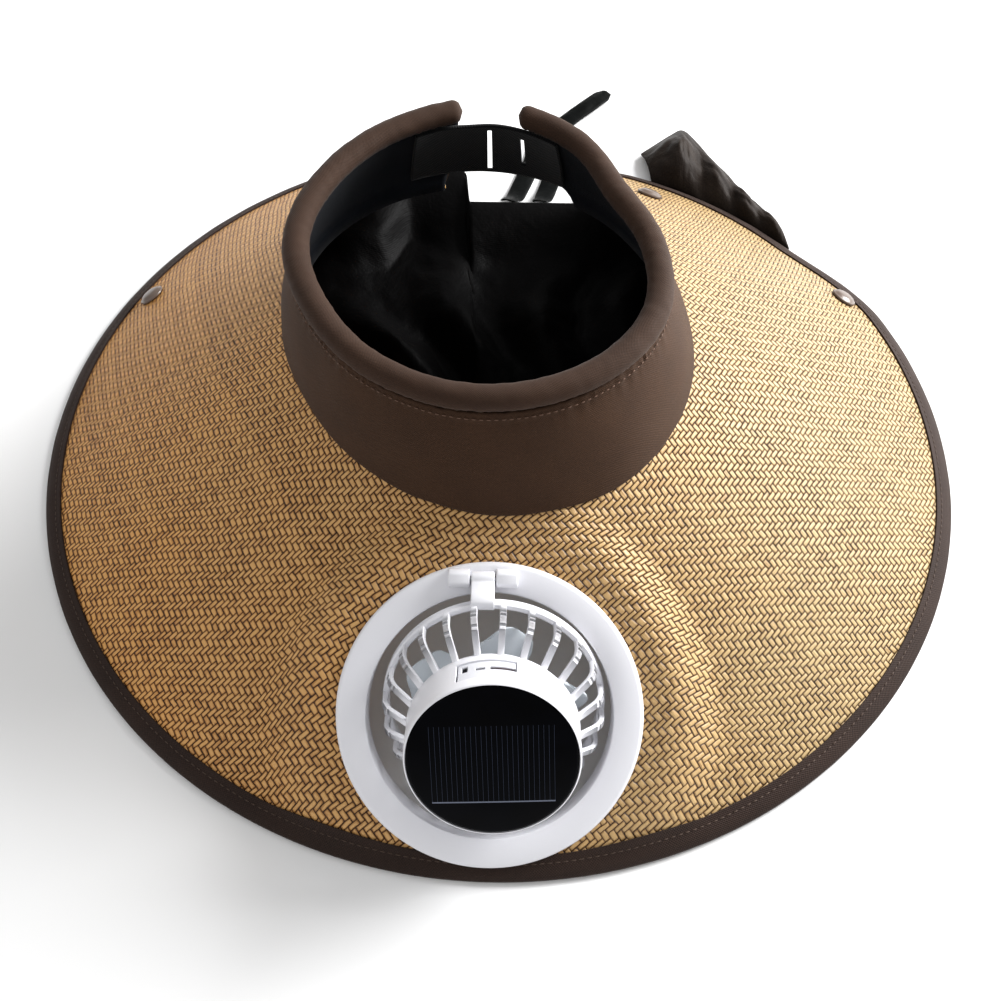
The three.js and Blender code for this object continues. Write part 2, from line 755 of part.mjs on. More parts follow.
// One rib: up from the rim, round the shoulder and in to the housing.
function makeRib() {
  const outer = rimRadius - 0.2;
  const start = new THREE.Vector2(outer, rimDepth / 2);
  const shoulder = new THREE.Vector2(outer, ribShoulder);
  const end = new THREE.Vector2(housingRadius - 1.2, housingBottom + 2.6);
  const away = end.clone().sub(shoulder).normalize();
  const cornerIn = shoulder.clone().addScaledVector(away, ribCorner);
  const cornerOut = shoulder.clone().add(new THREE.Vector2(0, -ribCorner));
  const bend = cornerOut.clone().add(cornerIn).multiplyScalar(0.25).addScaledVector(shoulder, 0.5);
  const path = [start, cornerOut, bend, cornerIn, end];
  const inside = path.map((p, i) => {
    const before = path[Math.max(i - 1, 0)];
    const after = path[Math.min(i + 1, path.length - 1)];
    const way = after.clone().sub(before).normalize();
    return new THREE.Vector2(p.x - way.y * ribThickness, p.y + way.x * ribThickness);
  });
  const outline = new THREE.Shape([...path, ...inside.reverse()]);
  const rib = new THREE.ExtrudeGeometry(outline, { depth: ribWidth, bevelEnabled: false });
  return rib.translate(0, 0, -ribWidth / 2).rotateX(Math.PI / 2);
}

function makeBasket() {
  const rim = turned([
    [rimInnerRadius, 0],
    [rimRadius, 0],
    [rimRadius, rimDepth],
    [rimInnerRadius, rimDepth],
  ], 40);
  const motorHole = motorRadius + gap;
  const drum = turned([
    [motorHole, housingBottom],
    [housingRadius - 1.8, housingBottom],
    [housingRadius, housingBottom + 1.8],
    [housingTopRadius + 0.1, housingTop - 0.6],
    [housingTopRadius - 0.4, housingTop],
    [panelRadius + gap, housingTop],
    [panelRadius + gap, panelSeat],
    [0, panelSeat],
    [0, drumRoof],
    [housingTopRadius - housingWall, drumRoof],
    [housingRadius - housingWall, housingBottom + housingWall],
    [motorHole, housingBottom + housingWall],
  ], 36);
  let basket = join(rim, drum);
  for (let k = 0; k < ribCount; k++) {
    basket = basket.add(toSolid(makeRib().rotateZ(((k + ribTurn) / ribCount) * 2 * Math.PI)));
  }
  const window = block(
    switchWidth + 2 * gap,
    housingRadius - motorRadius - 4 * gap,
    switchTop - switchBottom + 2 * gap,
    switchLeft + switchWidth / 2,
    (housingRadius + motorRadius) / 2 + 4 * gap,
    (switchTop + switchBottom) / 2,
  );
  basket = basket.subtract(toSolid(window));
  const onAxis = toSolid(onFanAxis(toGeometry(basket)));

  // The arm from the hinge barrel over the rim.
  const armTop = rimRise + rimDepth + 0.6;
  const armEnd = -(rimReach - rimInnerRadius);
  const outline = new THREE.Shape();
  outline.moveTo(barrelRadius, 0);
  outline.lineTo(barrelRadius * 0.5, barrelRadius * 0.87);
  outline.lineTo(-2.2, armTop - 3.2);
  outline.lineTo(-5.2, armTop);
  outline.lineTo(armEnd, armTop);
  outline.lineTo(armEnd, rimRise + 1);
  outline.lineTo(armEnd + rimWall - 0.6, rimRise + 0.4);
  outline.lineTo(-3.4, -barrelRadius * 0.2);
  outline.lineTo(-barrelRadius * 0.7, -barrelRadius * 0.72);
  outline.lineTo(0, -barrelRadius);
  outline.lineTo(barrelRadius * 0.7, -barrelRadius * 0.72);
  const arm = new THREE.ExtrudeGeometry(outline, { depth: armWidth, bevelEnabled: false });
  arm.rotateY(Math.PI / 2).rotateX(Math.PI / 2).translate(-armWidth / 2, 0, 0);
  const bore = rod(
    pinRadius + gap,
    new THREE.Vector3(-armWidth, 0, 0),
    new THREE.Vector3(armWidth, 0, 0),
    12,
  );
  return toGeometry(onAxis.add(toSolid(arm)).subtract(toSolid(bore)));
}

// The switch cover fills the window in the housing: a flush plate towards the panel
// and a recessed plate with three small openings.
function makeSwitchCover() {
  const recess = 1.5;
  const plate = (inset, from, to, sides) => turned([
    [housingSideRadius(from) - inset - 1.5, from],
    [housingSideRadius(from) - inset, from],
    [housingSideRadius(to) - inset, to],
    [housingSideRadius(to) - inset - 1.5, to],
  ], sides);
  const rings = join(plate(0.1, switchStep, switchTop, 48), plate(recess, switchBottom, switchStep + 0.4, 48));
  const wedge = block(
    switchWidth, housingRadius, 60, switchLeft + switchWidth / 2, housingRadius, housingTop / 2,
  );
  const cuts = [
    { x: switchLeft + 2.6, z: switchStep - 2.4, width: 2.2, height: 4.2 },
    { x: switchLeft + 8.2, z: switchStep - 1.2, width: 3.4, height: 2.2 },
    { x: switchLeft + 16.4, z: switchStep - 1.6, width: 9.2, height: 2.2 },
  ].map(({ x, z, width, height }) => toSolid(block(width, 12, height, x, housingRadius, z)));
  const cover = cuts.reduce((whole, cut) => whole.subtract(cut), rings.intersect(toSolid(wedge)));
  return onFanAxis(toGeometry(cover));
}

function makePanel() {
  const top = panelSeat + gap / 2 + panelThickness;
  return onFanAxis(turned([
    [0, panelSeat + gap / 2 + 0.15],
    [panelRadius, panelSeat + gap / 2 + 0.15],
    [panelRadius, top - 0.5],
    [panelRadius - 0.5, top],
    [0, top],
  ], 36));
}

function makeMotor() {
  return onFanAxis(turned([
    [0, hubBottom + 3],
    [shaftRadius, hubBottom + 3],
    [shaftRadius, motorBottom - 1.5],
    [3.2, motorBottom - 1.5],
    [3.2, motorBottom],
    [motorRadius, motorBottom],
    [motorRadius, motorTop],
    [0, motorTop],
  ], 24));
}

function makeBlades() {
  const hub = turned([
    [shaftRadius + gap, hubTop],
    [shaftRadius + gap, hubBottom + 3 - gap],
    [0, hubBottom + 3 - gap],
    [0, hubBottom],
    [hubRadius - 1, hubBottom],
    [hubRadius, hubBottom + 1],
    [hubRadius, hubTop],
  ], 20);
  let fan = toSolid(hub);
  const root = hubRadius - 1.2;
  const tip = bladeRadius;
  for (let k = 0; k < bladeCount; k++) {
    const outline = new THREE.Shape();
    outline.moveTo(root, -3.4);
    outline.quadraticCurveTo(lerp(root, tip, 0.45), -11, tip - 7, -12.5);
    outline.quadraticCurveTo(tip - 2.4, -11.5, tip - 1.2, -6);
    outline.quadraticCurveTo(tip - 0.4, 0, tip - 1.6, 6);
    outline.quadraticCurveTo(tip - 3, 10.5, tip - 8, 10);
    outline.quadraticCurveTo(lerp(root, tip, 0.4), 7.5, root, 3.4);
    const settings = { depth: bladeThickness, bevelEnabled: false, curveSegments: 3 };
    const blade = new THREE.ExtrudeGeometry(outline, settings);
    blade.translate(0, 0, -bladeThickness / 2).rotateX(bladePitch * deg).translate(0, 0, bladeMiddle);
    fan = fan.add(toSolid(blade.rotateZ((k / bladeCount) * 2 * Math.PI + 0.2)));
  }
  return onFanAxis(toGeometry(fan));
}

// Snap buttons on the straw

function makeButton({ name, turn, reach }) {
  const dome = turned([
    [0, 0],
    [buttonRadius, 0],
    [buttonRadius, buttonHeight * 0.3],
    [buttonRadius * 0.82, buttonHeight * 0.75],
    [buttonRadius * 0.45, buttonHeight * 0.97],
    [0, buttonHeight],
  ], 14);
  const button = part(name, dome, 'button');
  const radius = reach * strawEdgeRadius;
  const [x, y] = [radius * Math.sin(turn * deg), -radius * Math.cos(turn * deg)];
  const normal = strawNormal(x, y);
  button.position.set(x, y, strawHeight(x, y)).addScaledVector(normal, halfStraw + gap);
  button.quaternion.setFromUnitVectors(new THREE.Vector3(0, 0, 1), normal);
  return button;
}

// Veil: snapped under the back of the brim, its loose cloth folded in on the floor under the hat

const veilFloor = floorGap + veilThickness / 2;
const underStraw = (halfStraw + sewnGap + veilThickness / 2) / Math.cos(frontSlope);

function veilPlan(u, v) {
  const side = 2 * u - 1;
  const turn = side * veilSweep * deg;
  const radius = Math.min(snapEdgeRadius, snapEdgeY / Math.cos(turn));
  const snapped = new THREE.Vector2(radius * Math.sin(turn), radius * Math.cos(turn));
  const free = new THREE.Vector2(side * veilFrontHalfWidth, veilFrontY + veilFrontBow * side * side);
  return snapped.lerp(free, v);
}

// The veil's height: held up at the snapped edge, then loose folds.
function veilHeight(u, v) {
  const { x, y } = veilPlan(u, v);
  const ceiling = strawHeight(x, y) - underStraw;
  const edge = Math.min(ceiling, snapEdgeHeight);
  const folds = 0.5 + 0.5 * Math.sin(2 * Math.PI * (veilFolds * u + 0.7 * Math.sin(3.1 * v) + 0.2));
  const cross = 0.6 + 0.4 * Math.sin(7.5 * v + 5 * u);
  const loose = veilFloor + veilFoldHeight * folds * cross * smooth(v, 0, 0.2);
  const inHat = lerp(edge, Math.min(loose, ceiling), smooth(v, 0.02, 0.3));
  return Math.max(Math.min(inHat, ceiling), veilFloor);
}

function makeVeil() {
  const [columns, rows] = [28, 8];
  const side = (offset) => (c, r) => {
    const [u, v] = [c / columns, r / rows];
    const p = veilPlan(u, v);
    return new THREE.Vector3(p.x, p.y, veilHeight(u, v) + offset);
  };
  return wall(columns, rows, side(veilThickness / 2), side(-veilThickness / 2));
}

// A strip of cloth along a centre line: an arched section of a half width and a crest.
function strip(line, halves, lows, crests, across) {
  const side = (offset) => (c, r) => {
    const p = line[c];
    const way = line[Math.min(c + 1, line.length - 1)].clone().sub(line[Math.max(c - 1, 0)]).normalize();
    const off = (2 * r) / across - 1;
    const arch = (1 - off * off) ** 1.2;
    const x = p.x + way.y * halves[c] * off;
    const y = p.y - way.x * halves[c] * off;
    return new THREE.Vector3(x, y, veilFloor + lows[c] + crests[c] * arch + offset);
  };
  return wall(line.length - 1, across, side(veilThickness / 2), side(-veilThickness / 2));
}

function makeVeilCorner() {
  const rows = 5;
  const start = bindingWrap + sewnGap;
  const side = (offset) => (c, r) => {
    const { turn, depth, lean, fold, edge } = cornerColumns[c];
    const v = r / rows;
    const p = headPoint(180 - turn, edgeRadius(180 - turn) + start, 0);
    const lift = cornerReach * (fold * Math.sin(Math.PI * v ** 0.8) + edge * v);
    const [x, y] = [p.x + cornerReach * lean * v, p.y + cornerReach * depth * v];
    return new THREE.Vector3(x, y, veilFloor + lift + offset);
  };
  return wall(cornerColumns.length - 1, rows, side(veilThickness / 2), side(-veilThickness / 2));
}

function makeTie(rows) {
  const curve = new THREE.CatmullRomCurve3(rows.map(({ x, y, lift }) => new THREE.Vector3(
    x * strawEdgeRadius,
    y * strawEdgeRadius,
    lift * snapEdgeHeight,
  )));
  const points = curve.getSpacedPoints(3 * rows.length);
  return strip(
    points.map((p) => new THREE.Vector2(p.x, p.y)),
    points.map((p, i) => (tieWidth / 2) * (i === points.length - 1 ? 0.55 : 1)),
    points.map((p) => Math.max(p.z, 0)),
    points.map(() => tieArch),
    2,
  );
}

// The hat

const hat = new THREE.Group();
hat.add(part('brim', makeBrim(), 'straw'));
hat.add(part('brim_binding', makeBinding(), 'binding'));
hat.add(part('headband', bandWall(0, bandThickness, 0, 0), 'band'));
const liningFrom = bandThickness + gap;
hat.add(part('band_lining', bandWall(liningFrom, liningFrom + liningThickness, 0, 0.004), 'lining'));
hat.add(part('headband_roll', makeRoll(), 'band'));
hat.add(part('closure_strap', makeStrap(), 'strap'));
for (const button of buttons) hat.add(makeButton(button));
hat.add(part('veil', makeVeil(), 'satin'));
hat.add(part('veil_corner', makeVeilCorner(), 'satin'));
for (const [name, rows] of Object.entries(tiePaths)) hat.add(part(name, makeTie(rows), 'satin'));

const fanMount = new THREE.Group();
fanMount.position.copy(ringCentre);
fanMount.rotation.x = frontSlope;
fanMount.add(part('fan_ring', makeRing(), 'plastic'));
fanMount.add(part('fan_clamp_ring', makeClamp(), 'plastic'));
fanMount.add(part('hinge_pin', pinRod(pinRadius, 0), 'steel'));
hat.add(fanMount);

const fan = new THREE.Group();
fan.position.set(hingeShift, hingeUp, hingeRise);
fan.rotation.x = fanTilt * deg;
fan.add(part('fan_basket', makeBasket(), 'plastic'));
fan.add(part('switch_cover', makeSwitchCover(), 'plastic'));
fan.add(part('solar_panel', makePanel(), 'panel'));
fan.add(part('fan_motor', makeMotor(), 'steel'));
fan.add(part('fan_blades', makeBlades(), 'blade'));
fanMount.add(fan);

// The origin is under the middle of the hat's box, on the surface that it rests on.
const stand = new THREE.Group();
stand.add(hat);
stand.updateMatrixWorld(true);
const box = new THREE.Box3().setFromObject(hat, true);
hat.position.set(-(box.min.x + box.max.x) / 2, -(box.min.y + box.max.y) / 2, -box.min.z);

export default stand;
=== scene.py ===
# Straw sun visor with a solar fan in its brim, dressed for a plain studio picture.
# Metres, +Z up, the front of the hat faces -Y. Turns are degrees round the head, 0 at the front.
import math

import bmesh
import bpy
from mathutils import Matrix, Vector, noise


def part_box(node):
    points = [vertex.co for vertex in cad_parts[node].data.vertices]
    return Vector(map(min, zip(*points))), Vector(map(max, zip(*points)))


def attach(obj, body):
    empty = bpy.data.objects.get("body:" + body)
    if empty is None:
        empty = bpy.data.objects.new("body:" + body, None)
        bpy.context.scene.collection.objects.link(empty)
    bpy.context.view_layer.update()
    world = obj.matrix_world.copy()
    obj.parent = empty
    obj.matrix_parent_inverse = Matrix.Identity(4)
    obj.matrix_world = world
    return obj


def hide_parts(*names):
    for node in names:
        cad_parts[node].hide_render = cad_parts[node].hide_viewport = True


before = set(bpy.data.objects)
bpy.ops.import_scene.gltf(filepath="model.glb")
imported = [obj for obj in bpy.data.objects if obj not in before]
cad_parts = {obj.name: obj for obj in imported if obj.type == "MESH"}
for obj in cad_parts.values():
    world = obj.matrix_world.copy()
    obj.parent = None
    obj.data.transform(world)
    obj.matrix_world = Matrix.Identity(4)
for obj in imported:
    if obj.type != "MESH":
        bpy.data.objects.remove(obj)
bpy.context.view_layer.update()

bindingLow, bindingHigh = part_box("brim_binding")
hatShift = Vector((0, bindingLow.y + bindingHigh.x, 0))  # centre of the brim's edge

# Camera, lights and floor

camera = {
    "eye": (0.000706, -0.37426, 0.49114),
    "target": (0.000706, -0.032845, 0.002),
    "roll": 0.973,
    "focalPixels": 1300,
    "imagePixels": 1001,
    "sensor": 36,
    "nearClip": 0.01,
}

studio = {
    "worldTone": (1, 1, 1, 1),
    "worldStrength": 0.52,
    "lamps": {  # place, size, power
        "keyLight": ((1.15, 0.6, 0.8), 0.8, 40),
        "fillLight": ((-1.2, -0.9, 0.9), 1.2, 2),
    },
    "lampTarget": (0, 0, 0.05),
    "floorTones": ("f8f8f8", "efefef"),
    "floorHalfWidth": 4,
}


def tone(hexText):
    parts = [int(hexText[k : k + 2], 16) / 255 for k in (0, 2, 4)]
    linear = [c / 12.92 if c <= 0.04045 else ((c + 0.055) / 1.055) ** 2.4 for c in parts]
    return (*linear, 1)


def cosSin(degrees):
    a = math.radians(degrees)
    return math.cos(a), math.sin(a)


def lookAlong(eye, target, roll=0.0):
    eye, target = Vector(eye), Vector(target)
    turn = (target - eye).to_track_quat("-Z", "Y").to_matrix().to_4x4()
    return Matrix.Translation(eye) @ turn @ Matrix.Rotation(math.radians(roll), 4, "Z")


def toScene(name, data):
    made = bpy.data.objects.new(name, data)
    bpy.context.scene.collection.objects.link(made)
    return made


def makeCamera():
    data = bpy.data.cameras.new("camera")
    data.sensor_width = camera["sensor"]
    data.lens = camera["focalPixels"] / camera["imagePixels"] * camera["sensor"]
    data.clip_start = camera["nearClip"]
    made = toScene("camera", data)
    eye, target = (Vector(camera[key]) + hatShift for key in ("eye", "target"))
    made.matrix_world = lookAlong(eye, target, camera["roll"])
    bpy.context.scene.camera = made


def makeLamp(name, place, size, power):
    data = bpy.data.lights.new(name, "AREA")
    data.energy = power
    data.size = size
    lamp = toScene(name, data)
    lamp.matrix_world = lookAlong(place, hatShift + Vector(studio["lampTarget"]))


def makeWorld():
    world = bpy.data.worlds.new("studioWorld")
    world.use_nodes = True
    background = world.node_tree.nodes["Background"]
    background.inputs["Color"].default_value = studio["worldTone"]
    background.inputs["Strength"].default_value = studio["worldStrength"]
    bpy.context.scene.world = world
    bpy.context.scene.view_settings.view_transform = "Standard"
    bpy.context.scene.view_settings.look = "Medium High Contrast"


makeCamera()
for name, lamp in studio["lamps"].items():
    makeLamp(name, *lamp)
makeWorld()
print("camera and lights are set")

# Materials


def mathNode(operation, swapped=False):
    return lambda self, other: self.calc(operation, other, swapped)


class Value:  # a socket that sums, differences and products can be written with
    def __init__(self, shade, socket):
        self.shade = shade
        self.socket = socket

    def calc(self, operation, other=0.0, swapped=False):
        pair = (other, self) if swapped else (self, other)
        return self.shade.node("ShaderNodeMath", {"operation": operation}, dict(enumerate(pair)))

    __add__ = __radd__ = mathNode("ADD")
    __mul__ = __rmul__ = mathNode("MULTIPLY")
    __sub__ = mathNode("SUBTRACT")
    __rsub__ = mathNode("SUBTRACT", True)
    __truediv__ = mathNode("DIVIDE")
    __pow__ = mathNode("POWER")
    __mod__ = mathNode("FLOORED_MODULO")
    __lt__ = mathNode("LESS_THAN")
    __gt__ = mathNode("GREATER_THAN")


class Shade:  # one material and its nodes
    def __init__(self, name):
        self.material = bpy.data.materials.new(name)
        self.material.use_nodes = True
        self.tree = self.material.node_tree
        self.tree.nodes.clear()
        self.output = self.tree.nodes.new("ShaderNodeOutputMaterial")

    def node(self, kind, settings=None, sockets=None, out=0):
        made = self.tree.nodes.new(kind)
        for key, value in (settings or {}).items():
            if key == "stops":
                ramp = made.color_ramp
                while len(ramp.elements) < len(value):
                    ramp.elements.new(0.5)
                for element, (place, colour) in zip(ramp.elements, value):
                    element.position = place
                    element.color = colour
            else:
                setattr(made, key, value)
        for key, value in (sockets or {}).items():
            if isinstance(value, Value):
                self.tree.links.new(value.socket, made.inputs[key])
            else:
                made.inputs[key].default_value = value
        return Value(self, made.outputs[out])

    def objectPlace(self):
        return self.node("ShaderNodeTexCoord", out="Object")

    def uvPlace(self):
        return self.node("ShaderNodeTexCoord", out="UV")

    def split(self, vector):
        return [self.node("ShaderNodeSeparateXYZ", {}, {0: vector}, out=k) for k in range(3)]

    def join(self, x, y):
        return self.node("ShaderNodeCombineXYZ", {}, {0: x, 1: y})

    def noise(self, place, scale, detail=2.0, roughness=0.5):
        sockets = {"Vector": place, "Scale": scale, "Detail": detail, "Roughness": roughness}
        return self.node("ShaderNodeTexNoise", {}, sockets)

    def ramp(self, factor, *stops):
        return self.node("ShaderNodeValToRGB", {"stops": stops}, {0: factor})

    def blend(self, factor, first, second, way="MIX"):
        settings = {"data_type": "RGBA", "blend_type": way}
        return self.node("ShaderNodeMix", settings, {0: factor, 6: first, 7: second}, out=2)

    def bump(self, height, distance, strength=1.0, normal=None):
        sockets = {"Height": height, "Distance": distance, "Strength": strength}
        if normal:
            sockets["Normal"] = normal
        return self.node("ShaderNodeBump", {}, sockets)

    def finish(self, **sockets):
        named = {key.replace("_", " "): value for key, value in sockets.items()}
        surface = self.node("ShaderNodeBsdfPrincipled", {}, named)
        self.tree.links.new(surface.socket, self.output.inputs["Surface"])
        return self.material


straw = {
    "grain": 40,  # degrees between the strands and the sheet's own width
    "strandPitch": 0.0019,
    "crossPitch": 0.0025,
    "slowScale": 22,
    "slow": 1.6,
    "quickScale": 190,
    "quick": 0.42,
    "edge": 3.6,
    "patchScale": 260,
    "fibresAcross": 5.0,
    "fibresAlong": 0.5,
    "relief": 0.0007,
    "litSlope": 3.6,  # painted light: the +X side, which the key lamp lights, turns paler
    "litSlopeMiddle": 0.55,
    # The first stop, near black, colours the strand edges and the gaps between strands: painted
    # shade.
    "stops": (0.0, 0.3, 0.6, 0.92),
    # tones for the shaded -X side and for the lit +X side: painted light
    "shadedTones": ("1c0f05", "6e4621", "b37c40", "dca866"),
    "litTones": ("1c0f05", "5e462b", "9f8359", "c0a77c"),
}


def strawFinish():
    shade = Shade("twillStraw")
    place = shade.uvPlace()
    u, v, _ = shade.split(place)
    slow = shade.noise(place, straw["slowScale"])
    quick = shade.noise(place, straw["quickScale"])
    c, s = cosSin(straw["grain"])
    drift, jitter = slow * straw["slow"], quick * straw["quick"]
    along = (u * c + v * s) / straw["crossPitch"] + drift + jitter
    across = (v * c - u * s) / straw["strandPitch"] + drift - jitter
    strand = across.calc("FLOOR")
    crossing = along.calc("FLOOR")
    acrossPart = across - strand
    alongPart = along - crossing
    step = (crossing + strand) % 4
    onTop = step < 2
    under = 1 - onTop
    widthPart = onTop * acrossPart + under * alongPart
    lengthPart = onTop * (step + alongPart) / 2 + under * (step - 2 + acrossPart) / 2
    flat = 1 - (widthPart * 2 - 1).calc("ABSOLUTE") ** straw["edge"]
    bow = 1 - (lengthPart * 2 - 1).calc("ABSOLUTE") ** 6 * 0.75
    height = flat * bow
    oneWide = {"noise_dimensions": "1D"}
    strandTone = shade.node("ShaderNodeTexWhiteNoise", oneWide, {"W": strand})
    crossTone = shade.node("ShaderNodeTexWhiteNoise", oneWide, {"W": crossing + 0.5})
    own = onTop * strandTone + under * crossTone
    patch = shade.noise(place, straw["patchScale"], 3.0)
    fine, coarse = straw["fibresAcross"], straw["fibresAlong"]
    upper = shade.noise(shade.join(along * coarse, across * fine), 1.0)
    lower = shade.noise(shade.join(along * fine, across * coarse), 1.0)
    fibre = onTop * upper + under * lower  # fine streaks run along each strand
    # Darker down each strand's edges and ends and in the gaps between strands, where shade falls
    # (painted shade), plus each strand's own tone, patches and fibre streaks.
    lift = height ** 1.1 * (0.6 + patch * 0.7) + (own - 0.5) * 0.26 + (fibre - 0.5) * 0.7
    shadedTones, litTones = (
        shade.ramp(lift, *((stop, tone(text)) for stop, text in zip(straw["stops"], straw[lightSide])))
        for lightSide in ("shadedTones", "litTones")
    )
    # Painted light: towards +X, the side the key lamp lights, the straw blends into paler, greyer
    # tones, with a slow random wander.
    x, y, _ = shade.split(shade.objectPlace())
    litShare = x * straw["litSlope"] + straw["litSlopeMiddle"] + (slow - 0.5) * 0.3
    litShare = litShare.calc("MAXIMUM", 0).calc("MINIMUM", 1)
    return shade.finish(
        Base_Color=shade.blend(litShare, shadedTones, litTones),
        Roughness=0.62 - height * 0.2,
        Normal=shade.bump(height + fibre * 0.3, straw["relief"], 1.0),
        Specular_IOR_Level=0.5,
    )


def wovenFinish(name, dark, light, thread, relief, rough, sheen):
    shade = Shade(name)
    place = shade.uvPlace()
    u, v, _ = shade.split(place)
    drift = shade.noise(place, 90)
    waves = [(way * (math.tau / thread) + drift * 2.5).calc("SINE") for way in (u, v)]
    weave = waves[0] * waves[1] * 0.5 + 0.5
    slub = shade.noise(place, 1400, 3.0, 0.7)
    mottled = shade.noise(place, 45, 3.0, 0.6)
    factor = weave * 0.25 + slub * 0.54 + mottled * 0.21
    colour = shade.ramp(factor, (0.25, tone(dark)), (0.75, tone(light)))
    bump = shade.bump(weave * 0.6 + slub * 0.4, relief, 0.8)
    return shade.finish(
        Base_Color=colour,
        Roughness=rough - slub * 0.08,
        Normal=bump,
        Sheen_Weight=sheen,
        Sheen_Roughness=0.5,
        Specular_IOR_Level=0.3,
    )


def satinFinish(name, dark, light, specular=0.1):
    shade = Shade(name)
    place = shade.uvPlace()
    u, v, _ = shade.split(place)
    ribs = (v * (math.tau / 0.0009)).calc("SINE") * 0.5 + 0.5
    thread = shade.noise(place, 900, 2.0, 0.6)
    broad = shade.noise(place, 30, 3.0, 0.55)
    colour = shade.ramp(broad * 0.6 + thread * 0.4, (0.3, tone(dark)), (0.75, tone(light)))
    crumple = shade.noise(place, 130, 3.0, 0.6)
    soft = shade.bump(crumple, 0.0012, 0.5)
    bump = shade.bump(ribs * 0.3 + thread * 0.7, 0.00012, 0.6, soft)
    return shade.finish(
        Base_Color=colour,
        Roughness=0.5 + thread * 0.12,
        Normal=bump,
        Sheen_Weight=0.05,
        Sheen_Roughness=0.35,
        Specular_IOR_Level=specular,
    )


def plasticFinish(name, base, shadow, rough=0.32, coat=0.25):
    shade = Shade(name)
    place = shade.objectPlace()
    broad = shade.noise(place, 40, 3.0)
    grain = shade.noise(place, 2200)
    colour = shade.blend(broad * 0.35, tone(base), tone(shadow))
    bump = shade.bump(grain * 0.6 + broad * 0.4, 0.00012, 0.35)
    return shade.finish(
        Base_Color=colour,
        Roughness=rough + broad * 0.1 + grain * 0.04,
        Normal=bump,
        Coat_Weight=coat,
        Coat_Roughness=0.12,
    )


def metalFinish(name, base, rough):
    shade = Shade(name)
    place = shade.objectPlace()
    brushed = shade.noise(place, 900, 3.0, 0.7)
    colour = shade.blend(brushed * 0.4, tone(base), tone("8d8f92"))
    return shade.finish(
        Base_Color=colour,
        Metallic=1.0,
        Roughness=rough + brushed * 0.15,
        Normal=shade.bump(brushed, 0.00005, 0.5),
    )


def bladeFinish():
    shade = Shade("smokedBlade")
    place = shade.objectPlace()
    cloud = shade.noise(place, 60)
    colour = shade.blend(cloud * 0.5, tone("dfe5ea"), tone("b9c1c8"))
    return shade.finish(
        Base_Color=colour,
        Roughness=0.18 + cloud * 0.12,
        Normal=shade.bump(cloud, 0.0003, 0.3),
        Transmission_Weight=0.25,
        IOR=1.46,
        Coat_Weight=0.3,
    )


cells = {  # the lines printed on the panel
    "pitch": 0.00184,
    "lineShare": 0.035,
    "halfWidth": 0.0222,
    "halfHeight": 0.0160,
    "middle": -0.0012,
    "busPlace": -0.0172,
    "busHalfWidth": 0.0003,
    "turn": 2.5,
}


def panelFinish():
    # Thin cell lines up the disc and one bar that collects them.
    shade = Shade("solarCells")
    flatX, flatY, _ = shade.split(shade.uvPlace())
    c, s = cosSin(cells["turn"])
    x = flatX * c + flatY * s
    y = flatY * c - flatX * s
    lines = x / cells["pitch"]
    linePart = (lines - lines.calc("FLOOR") - 0.5).calc("ABSOLUTE")
    wide = x.calc("ABSOLUTE") < cells["halfWidth"]
    inside = wide * ((y - cells["middle"]).calc("ABSOLUTE") < cells["halfHeight"])
    finger = (linePart > 0.5 - cells["lineShare"]) * inside
    busbar = ((y - cells["busPlace"]).calc("ABSOLUTE") < cells["busHalfWidth"]) * wide
    cloud = shade.noise(shade.objectPlace(), 70, 3.0)
    base = shade.ramp(cloud, (0.3, tone("010103")), (0.8, tone("05060d")))
    base = shade.blend(inside * 0.6, base, tone("04060c"))
    base = shade.blend(finger * 0.45, base, tone("5c6478"))
    base = shade.blend(busbar * 0.7, base, tone("8d93a4"))
    return shade.finish(
        Base_Color=base,
        Roughness=0.16 + cloud * 0.06,
        Normal=shade.bump(cloud, 0.0002, 0.15),
        Coat_Weight=0.04,
        Coat_Roughness=0.03,
        Specular_IOR_Level=0.06,
    )


finishes = {
    "straw": strawFinish(),
    "tape": wovenFinish("bindingTape", "17100c", "44322a", 0.0011, 0.00025, 0.75, 0.05),
    "band": wovenFinish("bandCotton", "26170d", "553b27", 0.0009, 0.0002, 0.8, 0.05),
    "roll": wovenFinish("rollCotton", "24170f", "4e3728", 0.0009, 0.0002, 0.8, 0.08),
    "lining": wovenFinish("navyLining", "020408", "101724", 0.0008, 0.0002, 0.85, 0.05),
    "strap": wovenFinish("blackStrap", "020203", "0d0e12", 0.0012, 0.0004, 0.9, 0.2),
    "rollThread": wovenFinish("brownThread", "4a372c", "806556", 0.0006, 0.0001, 0.7, 0.1),
    "thread": wovenFinish("darkThread", "2a1e18", "5a4a40", 0.0006, 0.0001, 0.7, 0.1),
    # Painted shade: the veil is the same brown satin as its corner, made near black because it lies
    # in the hat's shade.
    "satin": satinFinish("shadedVeilSatin", "010102", "080606"),
    "cornerSatin": satinFinish("cornerSatin", "17110f", "3b332d", 0.14),
    "ribbon": satinFinish("tieRibbon", "040505", "0e1110"),
    "plastic": plasticFinish("whitePlastic", "ececf0", "dcdce4"),
    "cover": plasticFinish("platePlastic", "dcdde2", "cfd0d8", 0.4, 0.1),
    "button": plasticFinish("snapButton", "6b5c52", "4a3e37", 0.35, 0.4),
    "wire": plasticFinish("redWire", "a02a36", "6e1a26", 0.4, 0.2),
    "pin": metalFinish("pinSteel", "b8babd", 0.25),
    "motor": metalFinish("motorCan", "a9abad", 0.35),
    "blade": bladeFinish(),
    "panel": panelFinish(),
}
print("materials are made")

# Shape of the head and the straw, as the frame has it

